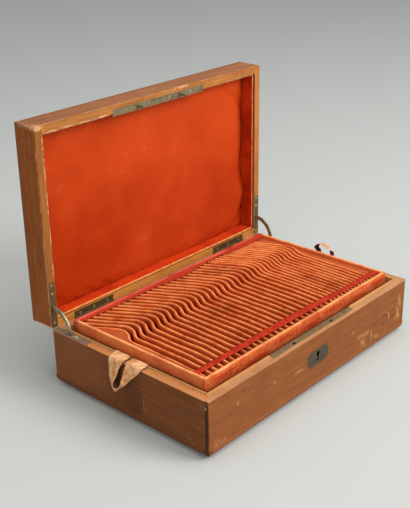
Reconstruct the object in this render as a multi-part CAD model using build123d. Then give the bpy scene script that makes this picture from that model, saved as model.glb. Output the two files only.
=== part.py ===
from build123d import *
from math import asin, cos, degrees, radians, sin
import os

# Antique cutlery chest, in millimetres.
# +X runs along the length to the right, -Y is the front with the lock, +Z is up.
# The origin is the middle of the underside. The chest stands open: the lid is a
# quarter turn back, the tray lies in the base and the lock bolt is drawn back.

# Cutlery rack in the tray: ribs stand on edge and every slot holds one piece
table_slots = 24
table_rib_spacing = 9.6
dessert_slots = 12
dessert_rib_spacing = 7.6
rib_thickness = 3.6
rack_margin_left = 9.0
rack_margin_right = 15.4
slot_length = 202.0
slot_depth = 28.0
rib_below_wall = 3.0
packing_below_ribs = 1.5
packing_break = 8.0

# Way of a rib across the tray, seen from above: straight, out to the right, back to the left
front_bow_radius = 670.0
front_bow_length = 63.0
straight_length = 52.0
sway_radius = 22.0
sway_turn = 35.0
sway_straight = 9.0
crest_radius = 20.0
rear_turn = 31.0

# Lift-out tray
tray_wall = 4.0
tray_wall_rounding = 1.5
tray_bottom_thickness = 3.0
tray_rise = 14.5
tray_gap_left = 3.0
tray_gap_right = 12.0
tray_gap_front = 5.0
tray_gap_rear = 10.0
tray_rest_width = 20.0
tray_rest_height = 8.0
tray_rest_end_gap = 12.0
compartment_height = 40.0

# Ribbons over the ribs and pull tabs at the tray's ends
ribbon_thickness = 0.6
ribbon_end_gap = 0.3
front_ribbon_width = 9.0
front_ribbon_left_inset = 14.5
front_ribbon_right_inset = 10.0
rear_ribbon_width = 12.0
rear_ribbon_inset = 0.5
tab_thickness = 0.9
tab_air = 0.4
tab_tail = 16.0
tab_width = 24.0
tab_spread = 4.0
tab_middle = 0.0
tab_hang = 44.0
tab_sag_back = 22.0
tab_fold_width = 8.0
arch_middle = -6.0
arch_radius = 15.0
arch_width = 9.0
arch_rise = 10.5

# Case boards
board = 10.0
corner_lap = 5.0
bottom_thickness = 13.0
bottom_rounding = 11.0
top_panel_thickness = 9.0
top_rounding = 6.0
corner_rounding = 2.5
liner = 2.5
base_liner_proud = 1.5
lip_clearance = 0.4
lid_liner_recess = 3.0
floor_lining = 1.5
floor_lining_gap = 0.3

# Lid over the tray
rim_gap = 0.3
tray_headroom = 4.8
lid_pad_edge = 8.5
lid_pad_crown = 3.0
lid_pad_gap = 0.3

# Butt hinges along the back
pin_radius = 1.0
pin_fit = 0.02
pin_running_fit = 0.05
knuckle_radius = 2.1
knuckle_gap = 0.2
knuckle_count = 5
hinge_leaf_length = 65.0
hinge_leaf_width = 9.6
hinge_leaf_thickness = 1.6
hinge_from_end = 36.0
hinge_screw_count = 3
hinge_screw_end = 10.0

# Quadrant stays at both ends
stay_plate_length = 60.0
stay_plate_width = 9.0
stay_plate_thickness = 1.6
stay_plate_setback = 0.5
stay_radius = 27.0
stay_arm_width = 5.5
stay_arm_thickness = 2.0
stay_knob_width = 8.5
stay_knob_length = 5.0
stay_clearance = 0.3
stay_knob_clearance = 0.5
stay_screw_from_back = 6.5
stay_screws_from_front = (4.0, 15.0)

# Lock in the front rim, link plate in the lid
lock_plate_length = 160.0
lock_plate_width = 9.0
lock_plate_thickness = 1.8
lock_plate_from_front = 4.8
lock_screw_from_end = 7.0
lock_screw_beside_case = 8.0
lock_screw_from_edge = 4.0
link_screw_from_hook = 19.0
hook_spacing = 74.0
hook_from_front = 8.7
hook_length = 10.5
hook_width = 4.6
hook_thickness = 2.4
hook_window_clearance = 0.6
notch_depth = 2.6
notch_height = 3.4
notch_above_tip = 2.2
lock_case_length = 104.0
lock_case_depth = 7.5
lock_case_height = 36.2
lock_case_wall = 0.8
lock_fit = 0.1
bolt_play = 0.4
bolt_stop_gap = 0.3
bolt_end_gap = 0.8
bolt_thickness = 1.4
bolt_back_gap = 0.2
bolt_bar_height = 8.0
finger_width = 3.2
finger_start_gap = 1.2
talon_width = 18.0
talon_height = 9.0
talon_notch = 6.0

# Keyhole plate on the front
escutcheon_length = 42.5
escutcheon_height = 21.0
escutcheon_canted = 5.5
escutcheon_thickness = 1.2
escutcheon_proud = 0.2
escutcheon_below_rim = 30.0
key_eye_radius = 3.3
key_eye_above_middle = 3.8
key_slot_width = 3.0
key_slot_length = 10.2
key_post_radius = 1.0
key_post_length = 8.0

# Countersunk screws
screw_head_radius = 2.0
screw_head_height = 1.4
screw_shank_radius = 0.9
screw_length = 8.0
screw_slot_width = 0.6
screw_slot_depth = 0.5
screw_fit = 0.05

# The tray is built round its rack, and the case round the tray
slots_length = table_slots * table_rib_spacing + dessert_slots * dessert_rib_spacing
rack_length = rack_margin_left + slots_length + rack_margin_right
tray_length = rack_length + 2 * tray_wall
tray_depth = slot_length + 2 * tray_wall
tray_height = tray_bottom_thickness + slot_depth + rib_below_wall
inner_length = tray_length + tray_gap_left + tray_gap_right
inner_depth = tray_depth + tray_gap_front + tray_gap_rear
box_length = inner_length + 2 * (liner + board)
box_depth = inner_depth + 2 * (liner + board)
tray_z = bottom_thickness + floor_lining + compartment_height
base_height = tray_z + tray_height - tray_rise

right = box_length / 2
back = box_depth / 2
wall_right = right - board
wall_back = back - board
liner_right = wall_right - liner
liner_back = wall_back - liner
tray_left = -liner_right + tray_gap_left
tray_right = tray_left + tray_length
tray_front = -liner_back + tray_gap_front
tray_rear = tray_front + tray_depth
tray_top = tray_z + tray_height
rack_left = tray_left + tray_wall
rack_right = tray_right - tray_wall
rack_front = tray_front + tray_wall
rack_rear = tray_rear - tray_wall
rack_floor = tray_z + tray_bottom_thickness
rib_top = rack_floor + slot_depth
sway_start_y = rack_front + front_bow_length + straight_length
sway_rise = (sway_radius + crest_radius) * sin(radians(sway_turn))
crest_y = sway_start_y + sway_rise + sway_straight * cos(radians(sway_turn))

lid_rim = base_height + rim_gap
lid_ceiling = tray_top + tray_headroom + lid_pad_crown + lid_pad_edge
lid_top = lid_ceiling + top_panel_thickness
pin_y = back
pin_z = base_height + rim_gap / 2
pin_axis = Axis((0, pin_y, pin_z), (1, 0, 0))
lid_open_turn = 90.0
forward = 180.0
half_way = forward - lid_open_turn / 2

hinge_outer = right - hinge_from_end
hinge_inner = hinge_outer - hinge_leaf_length
hinge_leaf_front = back - hinge_leaf_width
hinge_screw_y = back - hinge_leaf_width / 2
stay_x = right - board / 2
stay_plate_back = back - stay_plate_setback
stay_plate_front = stay_plate_back - stay_plate_length
knob_start = degrees((rim_gap / 2 + stay_plate_thickness + stay_knob_clearance) / stay_radius)
knob_turn = degrees(stay_knob_length / stay_radius)
arm_half_turn = lid_open_turn / 2 + knob_start + knob_turn
mortise_half_turn = arm_half_turn + degrees(stay_knob_clearance / stay_radius)

lock_plate_front = -back + lock_plate_from_front
lock_plate_back = lock_plate_front + lock_plate_width
lock_case_back = -liner_back
lock_case_front = lock_case_back - lock_case_depth
lock_cavity_front = lock_case_front + lock_case_wall
lock_cavity_back = lock_case_back - lock_case_wall
lock_plate_under = base_height - lock_plate_thickness
lock_case_bottom = lock_plate_under - lock_case_height
escutcheon_middle = base_height - escutcheon_below_rim
key_eye_height = escutcheon_middle + key_eye_above_middle
hook_y = -back + hook_from_front
hook_x = hook_spacing / 2
hook_tip = lid_rim - hook_length
notch_bottom = hook_tip + notch_above_tip
notch_top = notch_bottom + notch_height
bolt_bottom = notch_bottom + bolt_play
bolt_top = notch_top - bolt_play
bolt_back = lock_cavity_back - bolt_back_gap
bolt_front = bolt_back - bolt_thickness
finger_front = hook_y - hook_thickness / 2
bolt_travel = finger_start_gap + notch_depth - bolt_stop_gap
bolt_length = lock_case_length - 2 * (lock_case_wall + bolt_travel + bolt_end_gap)


def block(x, y, z):
    """A box between two values on each axis."""
    middle = ((x[0] + x[1]) / 2, (y[0] + y[1]) / 2, (z[0] + z[1]) / 2)
    return Pos(*middle) * Box(abs(x[1] - x[0]), abs(y[1] - y[0]), abs(z[1] - z[0]))


def mirrored(x, side):
    """An X range on the right-hand side, or its mirror image for side -1."""
    return (x[0] * side, x[1] * side)


def opened(shape):
    """Turns a piece of the closed lid back to where it stands open."""
    return shape.rotate(pin_axis, -lid_open_turn)


def at_edges(shape, axis, wanted):
    """The edges along one axis whose middle fits a test."""
    return [edge for edge in shape.edges().filter_by(axis) if wanted(edge.center())]


def screw(x, y, z, up, grow=0.0):
    """A countersunk wood screw whose head is flush at z; up is the way its head faces."""
    head = Cone(screw_shank_radius + grow, screw_head_radius + grow, screw_head_height,
                align=(Align.CENTER, Align.CENTER, Align.MAX))
    shank = Cylinder(screw_shank_radius + grow, screw_length + grow,
                     align=(Align.CENTER, Align.CENTER, Align.MAX))
    body = head + shank
    if grow == 0.0:
        body -= Box(3 * screw_head_radius, screw_slot_width, 2 * screw_slot_depth)
    if up < 0:
        body = Rot(180, 0, 0) * body
    return Pos(x, y, z) * body


def screws(places, z, up, grow=0.0):
    """Screws at several places on one rim, or their holes when grown by the fit."""
    return [screw(x, y, z, up, grow) for x, y in places]


def let_in(thickness, upper, open_by=0.0):
    """The heights that a plate takes up in its rim: of the closed lid, or of the base."""
    if upper:
        return (lid_rim - open_by, lid_rim + thickness)
    return (base_height - thickness, base_height + open_by)


def cut(shape, tools):
    """Takes each tool out of a shape."""
    for tool in tools:
        shape = shape - tool
    return shape


# Places of the screws on a rim, the same on base and lid
def hinge_places():
    step = (hinge_leaf_length - 2 * hinge_screw_end) / (hinge_screw_count - 1)
    along = [hinge_inner + hinge_screw_end + step * i for i in range(hinge_screw_count)]
    return [(side * x, hinge_screw_y) for side in (-1, 1) for x in along]


def stay_places():
    along = [stay_plate_front + away for away in stay_screws_from_front]
    along.append(stay_plate_back - stay_screw_from_back)
    return [(side * stay_x, y) for side in (-1, 1) for y in along]


def lock_places():
    along = [lock_plate_length / 2 - lock_screw_from_end, lock_case_length / 2 + lock_screw_beside_case]
    return [(side * x, lock_plate_front + lock_screw_from_edge) for side in (-1, 1) for x in along]


def link_places():
    along = [hook_x - link_screw_from_hook, hook_x + link_screw_from_hook]
    return [(side * x, lock_plate_front + lock_screw_from_edge) for side in (-1, 1) for x in along]


# Hardware let into the rims
def hinge_leaf(side, upper):
    """One leaf with its knuckles, for the base or for the closed lid."""
    near, far = let_in(hinge_leaf_thickness, upper)
    leaf_back = pin_y - knuckle_radius - knuckle_gap
    leaf = block(mirrored((hinge_inner, hinge_outer), side), (hinge_leaf_front, leaf_back), (near, far))
    pitch = hinge_leaf_length / knuckle_count
    fit = pin_running_fit if upper else pin_fit
    for i in range(knuckle_count):
        if (i % 2 == 1) == upper:
            x0 = hinge_inner + i * pitch + knuckle_gap / 2
            x1 = x0 + pitch - knuckle_gap
            across = Pos(side * (x0 + x1) / 2, pin_y, pin_z) * Rot(0, 90, 0)
            knuckle = across * Cylinder(knuckle_radius, x1 - x0)
            web = block(mirrored((x0, x1), side), (leaf_back, pin_y), (near, far))
            leaf = leaf + knuckle + web
    bore = Pos(side * (hinge_inner + hinge_outer) / 2, pin_y, pin_z) * Rot(0, 90, 0)
    leaf = leaf - bore * Cylinder(pin_radius + fit, hinge_leaf_length + 2)
    rim = lid_rim if upper else base_height
    holes = [p for p in hinge_places() if p[0] * side > 0]
    return cut(leaf, screws(holes, rim, -1 if upper else 1, screw_fit))


def hinge_recess(side, upper):
    """The shallow recess that a leaf lies in."""
    heights = let_in(hinge_leaf_thickness, upper, 1)
    return block(mirrored((hinge_inner, hinge_outer), side), (hinge_leaf_front, back + 1), heights)


def hinge_rod(side, radius):
    """A rod along the hinge axis, as long as the leaves."""
    middle = side * (hinge_inner + hinge_outer) / 2
    return Pos(middle, pin_y, pin_z) * Rot(0, 90, 0) * Cylinder(radius, hinge_leaf_length)


def hinge_housing(side, upper):
    """What a rear board gives up for a hinge: the leaf's recess and a groove round the knuckles."""
    return hinge_recess(side, upper) + hinge_rod(side, knuckle_radius + knuckle_gap)


def stay_ring(inner, outer, thickness, start, end):
    """A flat piece of a ring round the hinge axis, by angles from the rear up towards +Z."""
    centred = (Align.NONE, Align.NONE, Align.CENTER)
    ring = Cylinder(outer, thickness, arc_size=end - start, align=centred) - Cylinder(inner, 2 * thickness)
    standing = Rot(0, 90, 0) * Rot(0, 0, 90 + start) * ring
    return Pos(0, pin_y, pin_z) * standing


def stay_plate(side, upper):
    """A strap let into a side rim, with the slot that the arm runs through."""
    near, far = let_in(stay_plate_thickness, upper)
    across = mirrored((stay_x - stay_plate_width / 2, stay_x + stay_plate_width / 2), side)
    plate = block(across, (stay_plate_front, stay_plate_back), (near, far))
    slot_half = stay_arm_thickness / 2 + stay_clearance
    reach = stay_arm_width / 2 + stay_clearance
    middle_y = pin_y - stay_radius
    slot_across = mirrored((stay_x - slot_half, stay_x + slot_half), side)
    slot = block(slot_across, (middle_y - reach, middle_y + reach), (near - 1, far + 1))
    rim = lid_rim if upper else base_height
    holes = [p for p in stay_places() if p[0] * side > 0]
    return cut(plate - slot, screws(holes, rim, -1 if upper else 1, screw_fit))


def stay_recess(side, upper):
    across = mirrored((stay_x - stay_plate_width / 2, stay_x + stay_plate_width / 2), side)
    return block(across, (stay_plate_front, stay_plate_back), let_in(stay_plate_thickness, upper, 1))


def stay_mortise(side):
    """The curved mortise that takes the arm, cut in the side boards of base and closed lid."""
    width = stay_arm_thickness + 2 * stay_knob_clearance
    reach = stay_knob_width / 2 + stay_knob_clearance
    ring = stay_ring(stay_radius - reach, stay_radius + reach, width,
                     forward - mortise_half_turn, forward + mortise_half_turn)
    return Pos(side * stay_x, 0, 0) * ring


def stay_arm(side):
    """The curved arm, drawn where it stands with the lid open: from lid plate to base plate."""
    half = stay_arm_width / 2
    arm = stay_ring(stay_radius - half, stay_radius + half, stay_arm_thickness,
                    half_way - arm_half_turn, half_way + arm_half_turn)
    knob = stay_knob_width / 2
    low = stay_ring(stay_radius - knob, stay_radius + knob, stay_arm_thickness,
                    half_way + arm_half_turn - knob_turn, half_way + arm_half_turn)
    high = stay_ring(stay_radius - knob, stay_radius + knob, stay_arm_thickness,
                     half_way - arm_half_turn, half_way - arm_half_turn + knob_turn)
    return Pos(side * stay_x, 0, 0) * (arm + low + high)


# Lock
def lock_plate_recess(upper):
    half = lock_plate_length / 2
    return block((-half, half), (lock_plate_front, lock_plate_back), let_in(lock_plate_thickness, upper, 1))


def lock_plate():
    """The selvedge plate in the front rim, with a window for each hook."""
    half = lock_plate_length / 2
    plate = block((-half, half), (lock_plate_front, lock_plate_back), (lock_plate_under, base_height))
    gap = hook_window_clearance
    for side in (-1, 1):
        window = Box(hook_width + 2 * gap, hook_thickness + 2 * gap, 4 * lock_plate_thickness)
        plate = plate - Pos(side * hook_x, hook_y, base_height) * window
    return cut(plate, screws(lock_places(), base_height, 1, screw_fit))


def link_plate():
    """The lid's plate with its two notched hooks, as it lies when the lid is shut."""
    half = lock_plate_length / 2
    plate = block((-half, half), (lock_plate_front, lock_plate_back), let_in(lock_plate_thickness, True))
    thick = (hook_y - hook_thickness / 2, hook_y + hook_thickness / 2)
    for side in (-1, 1):
        x = side * hook_x
        hook = block((x - hook_width / 2, x + hook_width / 2), thick,
                     (hook_tip, lid_rim + lock_plate_thickness / 2))
        notch = block((x + hook_width / 2 - notch_depth, x + hook_width / 2 + 1),
                      (hook_y - hook_thickness, hook_y + hook_thickness), (notch_bottom, notch_top))
        plate = plate + (hook - notch)
    return cut(plate, screws(link_places(), lid_rim, -1, screw_fit))


def lock_case():
    """The sheet box under the plate that holds the bolt, open at the top."""
    half = lock_case_length / 2
    wall = lock_case_wall
    case = block((-half, half), (lock_case_front, lock_case_back), (lock_case_bottom, lock_plate_under))
    cavity = block((-half + wall, half - wall), (lock_cavity_front, lock_cavity_back),
                   (lock_case_bottom + wall, lock_plate_under + 1))
    post_hole = Pos(0, lock_case_back, key_eye_height) * Rot(90, 0, 0) * Cylinder(key_post_radius, 4 * wall)
    return case - cavity - keyway(lock_case_front - 1, lock_cavity_front) - post_hole


def case_mortise():
    """Room for the lock case in the front board and its liner."""
    half = lock_case_length / 2 + lock_fit
    depth = (lock_case_front - lock_fit, lock_case_back + 1)
    return block((-half, half), depth, (lock_case_bottom - lock_fit, base_height + 2 * base_liner_proud))


def keyway(y0, y1):
    """A keyhole between two depths: a round eye with a slot below it."""
    eye = Pos(0, (y0 + y1) / 2, key_eye_height) * Rot(90, 0, 0) * Cylinder(key_eye_radius, abs(y1 - y0))
    half = key_slot_width / 2
    slot = block((-half, half), (y0, y1), (key_eye_height - key_slot_length, key_eye_height))
    return eye + slot


def key_post():
    """The pin in the keyhole that a hollow key turns on, riveted in the back of the case."""
    place = Pos(0, lock_case_back - key_post_length / 2, key_eye_height) * Rot(90, 0, 0)
    return place * Cylinder(key_post_radius, key_post_length)


def lock_bolt():
    """The sliding bolt, drawn back: its fingers stand beside the hooks' notches."""
    half = bolt_length / 2
    bar = block((-half, half), (bolt_front, bolt_back), (bolt_top - bolt_bar_height, bolt_top))
    for side in (-1, 1):
        x0 = side * hook_x + hook_width / 2 + finger_start_gap
        finger = block((x0, x0 + finger_width), (finger_front, bolt_back), (bolt_bottom, bolt_top))
        bar = bar + finger
    talon_top = bolt_top - bolt_bar_height
    talon = block((-talon_width / 2, talon_width / 2), (bolt_front, bolt_back),
                  (talon_top - talon_height, talon_top))
    bite = block((-talon_notch / 2, talon_notch / 2), (bolt_front - 1, bolt_back + 1),
                 (talon_top - talon_height - 1, talon_top - talon_height / 2))
    return bar + (talon - bite)


def escutcheon_outline(y0, y1, grow=0.0):
    """An octagon with canted corners, standing in the front face between two depths."""
    a = escutcheon_length / 2 + grow
    b = escutcheon_height / 2 + grow
    c = escutcheon_canted
    right_half = [(a - c, -b), (a, -b + c), (a, b - c), (a - c, b)]
    corners = right_half + [(-x, z) for x, z in reversed(right_half)]
    face = Plane.XZ * make_face(Polyline(*corners, close=True))
    return Pos(0, y1, escutcheon_middle) * extrude(face, amount=abs(y1 - y0))


def escutcheon():
    y0 = -back - escutcheon_proud
    y1 = y0 + escutcheon_thickness
    return escutcheon_outline(y0, y1) - keyway(y0 - 1, y1 + 1)


# Boards
def long_board(side, z0, z1):
    """A front or back board: full length, with a rebate at each end for the side board."""
    outer = side * back
    inner = side * wall_back
    piece = block((-right, right), (outer, inner), (z0, z1))
    for end in (-1, 1):
        depth = (side * (back - corner_lap), side * (wall_back - 1))
        lap = block(mirrored((wall_right, right + 1), end), depth, (z0 - 1, z1 + 1))
        piece = piece - lap
    corners = at_edges(piece, Axis.Z, lambda c: abs(abs(c.Y) - back) < 0.01)
    return fillet(corners, corner_rounding)


def end_board(side, z0, z1):
    """A side board, let into the rebates of the front and back boards."""
    reach = back - corner_lap
    return block(mirrored((wall_right, right), side), (-reach, reach), (z0, z1))


def soft_slab(z0, z1, radius, downwards):
    """The bottom board or top panel with its outer edges rounded over."""
    slab = block((-right, right), (-back, back), (z0, z1))
    face = slab.faces().sort_by(Axis.Z)[0 if downwards else -1]
    return fillet(face.edges(), radius)


def base_front_board():
    piece = long_board(-1, bottom_thickness, base_height)
    piece = piece - lock_plate_recess(False) - case_mortise()
    piece = piece - keyway(-back - 1, -wall_back)
    a = -back - escutcheon_proud
    piece = piece - escutcheon_outline(a, a + escutcheon_thickness)
    return cut(piece, screws(lock_places(), base_height, 1, screw_fit))


def base_back_board():
    piece = long_board(1, bottom_thickness, base_height)
    for side in (-1, 1):
        piece = piece - hinge_housing(side, False) - stay_recess(side, False)
    return cut(piece, screws(hinge_places(), base_height, 1, screw_fit))


def base_end_board(side):
    piece = end_board(side, bottom_thickness, base_height)
    piece = piece - stay_recess(side, False) - stay_mortise(side)
    return cut(piece, screws(stay_places(), base_height, 1, screw_fit))


def lid_front_board():
    piece = long_board(-1, lid_rim, lid_ceiling) - lock_plate_recess(True)
    return cut(piece, screws(link_places(), lid_rim, -1, screw_fit))


def lid_back_board():
    piece = long_board(1, lid_rim, lid_ceiling)
    for side in (-1, 1):
        piece = piece - hinge_housing(side, True) - stay_recess(side, True)
    return cut(piece, screws(hinge_places(), lid_rim, -1, screw_fit))


def lid_end_board(side):
    piece = end_board(side, lid_rim, lid_ceiling)
    piece = piece - stay_recess(side, True) - stay_mortise(side)
    return cut(piece, screws(stay_places(), lid_rim, -1, screw_fit))


# Thin liner boards inside the walls
def base_long_liner(side):
    """The liner along the front or back, standing a little proud of the rim as a lip."""
    lip = base_height + base_liner_proud
    thick = (side * liner_back, side * wall_back)
    piece = block((-wall_right, wall_right), thick, (bottom_thickness, base_height))
    edge = block((-wall_right + lip_clearance, wall_right - lip_clearance),
                 (side * liner_back, side * (wall_back - lip_clearance)), (base_height, lip))
    piece = piece + edge
    if side < 0:
        half = lock_plate_length / 2
        room = block((-half, half), (lock_plate_front, -liner_back + 1), (lock_plate_under, lip + 1))
        piece = piece - room - case_mortise()
    return piece


def base_end_liner(side):
    lip = base_height + base_liner_proud
    along = (-liner_back, liner_back)
    piece = block(mirrored((liner_right, wall_right), side), along, (bottom_thickness, base_height))
    edge = block(mirrored((liner_right, wall_right - lip_clearance), side), along, (base_height, lip))
    return piece + edge


def lid_long_liner(side):
    thick = (side * liner_back, side * wall_back)
    return block((-wall_right, wall_right), thick, (lid_rim + lid_liner_recess, lid_ceiling))


def lid_end_liner(side):
    return block(mirrored((liner_right, wall_right), side), (-liner_back, liner_back),
                 (lid_rim + lid_liner_recess, lid_ceiling))


def floor_sheet():
    x = liner_right - floor_lining_gap
    y = liner_back - floor_lining_gap
    return block((-x, x), (-y, y), (bottom_thickness, bottom_thickness + floor_lining))


def tray_rests():
    """A strip glued along each end liner that carries the tray."""
    reach = liner_back - tray_rest_end_gap
    return [block(mirrored((liner_right - tray_rest_width, liner_right), side), (-reach, reach),
                  (tray_z - tray_rest_height, tray_z)) for side in (-1, 1)]


def lid_lining():
    """The padded satin panel under the lid's top: full at the middle, drawn in at its edges."""
    x = liner_right - lid_pad_gap
    y = liner_back - lid_pad_gap
    low = lid_ceiling - lid_pad_edge - lid_pad_crown
    pad = block((-x, x), (-y, y), (low, lid_ceiling))
    for half, turn in ((x, 0), (y, 90)):
        radius = (half * half + lid_pad_crown * lid_pad_crown) / (2 * lid_pad_crown)
        drum = Pos(0, 0, low + radius) * Rot(0, 0, turn) * Rot(90, 0, 0) * Cylinder(radius, 2 * right)
        pad = pad & drum
    return pad


# Tray
def tray_long_wall(side):
    """The front or back wall of the tray, its top rounded under the cloth."""
    y0, y1 = (tray_front, rack_front) if side < 0 else (rack_rear, tray_rear)
    wall = block((tray_left, tray_right), (y0, y1), (rack_floor, tray_top))
    return fillet(at_edges(wall, Axis.X, lambda c: abs(c.Z - tray_top) < 0.01), tray_wall_rounding)


def tray_end_wall(side):
    x0, x1 = (tray_left, rack_left) if side < 0 else (rack_right, tray_right)
    wall = block((x0, x1), (rack_front, rack_rear), (rack_floor, tray_top))
    return fillet(at_edges(wall, Axis.Y, lambda c: abs(c.Z - tray_top) < 0.01), tray_wall_rounding)


def tray_bottom():
    return block((tray_left, tray_right), (tray_front, tray_rear), (tray_z, rack_floor))


def rib_way():
    """The middle line of a rib, from behind the front wall to past the rear wall."""
    bow_y = rack_front + front_bow_length
    bow_turn = degrees(asin((front_bow_length + rib_thickness) / front_bow_radius))
    bow = JernArc(start=(0, bow_y), tangent=(0, -1), radius=front_bow_radius, arc_size=-bow_turn)
    straight = Line((0, bow_y), (0, sway_start_y))
    out = JernArc(start=(0, sway_start_y), tangent=(0, 1), radius=sway_radius, arc_size=-sway_turn)
    lean = (sin(radians(sway_turn)), cos(radians(sway_turn)))
    corner = out @ 1
    across = Line(corner, corner + Vector(lean[0], lean[1]) * sway_straight)
    crest = JernArc(start=across @ 1, tangent=lean, radius=crest_radius, arc_size=sway_turn + rear_turn)
    last = crest @ 1
    rest_length = (rack_rear + rib_thickness - last.Y) / cos(radians(rear_turn))
    rest = Line(last, last + Vector(-sin(radians(rear_turn)), cos(radians(rear_turn))) * rest_length)
    return Curve() + [bow, straight, out, across, crest, rest]


def inside_rack(shape):
    """What of a shape lies between the tray's walls."""
    return shape & block((rack_left, rack_right), (rack_front, rack_rear), (rack_floor, rib_top))


def rib(way, x):
    """One upright rib whose straight run lies at x, trimmed to the inside of the tray."""
    flat = trace(way, rib_thickness)
    return inside_rack(extrude(Pos(x, 0, rack_floor) * flat, amount=slot_depth))


def packing(way, x, side):
    """The wood that fills the tray between an end wall and the nearest rib, just lower than the ribs."""
    ends = way.vertices().sort_by(Axis.Y)
    front, rear = ends[0], ends[-1]
    outside = side * rack_length
    border = Polyline((front.X, front.Y), (outside, front.Y), (outside, rear.Y), (rear.X, rear.Y))
    plan = make_face(way.edges() + border.edges())
    height = slot_depth - packing_below_ribs
    piece = inside_rack(extrude(Pos(x, 0, rack_floor) * plan, amount=height)) - rib(way, x)
    half = packing_break / 2
    thin = block((x, outside), (crest_y - half, crest_y + half), (rack_floor, rib_top))
    return piece - thin if side > 0 else piece


def table_rib_places():
    return [rack_left + rack_margin_left + table_rib_spacing * i for i in range(table_slots + 1)]


def dessert_rib_places():
    last = table_rib_places()[-1]
    return [last + dessert_rib_spacing * (i + 1) for i in range(dessert_slots)]


def front_ribbon():
    """The red ribbon across the ribs near the front, a little askew."""
    x0 = rack_left + ribbon_end_gap
    x1 = rack_right - ribbon_end_gap
    y0 = rack_front + front_ribbon_left_inset - front_ribbon_width / 2
    y1 = rack_front + front_ribbon_right_inset - front_ribbon_width / 2
    corners = [(x0, y0), (x1, y1), (x1, y1 + front_ribbon_width), (x0, y0 + front_ribbon_width)]
    return extrude(Pos(0, 0, rib_top) * make_face(Polyline(*corners, close=True)), amount=ribbon_thickness)


def rear_ribbon():
    x0 = rack_left + ribbon_end_gap
    x1 = rack_right - ribbon_end_gap
    y1 = rack_rear - rear_ribbon_inset
    return block((x0, x1), (y1 - rear_ribbon_width, y1), (rib_top, rib_top + ribbon_thickness))


def pull_tab_left():
    """The ribbon loop at the left end: two strands up the gap, over the rim and down outside."""
    over = base_height + base_liner_proud + tab_air
    top = over + tab_thickness
    low = base_height - tab_tail
    outside = -right - tab_air
    near = tab_middle - tab_spread / 2
    far = tab_middle + tab_spread / 2
    tab = None
    for y0, y1 in ((near - tab_width, near), (far, far + tab_width)):
        rise = block((tray_left - tab_thickness, tray_left), (y0, y1), (low, top))
        cross = block((outside - tab_thickness, tray_left), (y0, y1), (over, top))
        tab = rise + cross if tab is None else tab + rise + cross
    bottom = base_height - tab_hang
    fold = tab_middle + tab_sag_back
    half = tab_fold_width / 2
    rear_strand = [(far, top), (far + tab_width, top), (fold + half, bottom + 2 * half), (fold, bottom),
                   (fold - half / 2, bottom + 2 * half)]
    front_strand = [(near, top), (near - tab_width, top), (fold - 2 * half, bottom + half), (fold, bottom),
                    (fold + half, bottom + 2 * half), (fold - 2 * half, bottom + 3 * half)]
    for strand in (rear_strand, front_strand):
        face = Plane.YZ * make_face(Polyline(*strand, close=True))
        tab = tab + extrude(Pos(outside - tab_thickness, 0, 0) * face, amount=tab_thickness)
    return tab


def pull_tab_right():
    """The ribbon loop at the right end, standing up as an arch beside the tray wall."""
    crown = tray_top + arch_rise
    spring = crown - arch_radius
    foot = base_height - tab_tail
    a = (arch_middle - arch_radius, foot)
    b = (arch_middle - arch_radius, spring)
    c = (arch_middle + arch_radius, spring)
    d = (arch_middle + arch_radius, foot)
    way = Curve() + [Line(a, b), ThreePointArc(b, (arch_middle, crown), c), Line(c, d)]
    return extrude(Pos(tray_right, 0, 0) * (Plane.YZ * trace(way, tab_thickness)), amount=arch_width)


def save(name, shape):
    """Writes one piece, or a group of separate pieces, as parts/name.step."""
    whole = Compound(children=list(shape)) if isinstance(shape, list) else shape
    export_step(whole, "parts/" + name + ".step")


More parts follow.
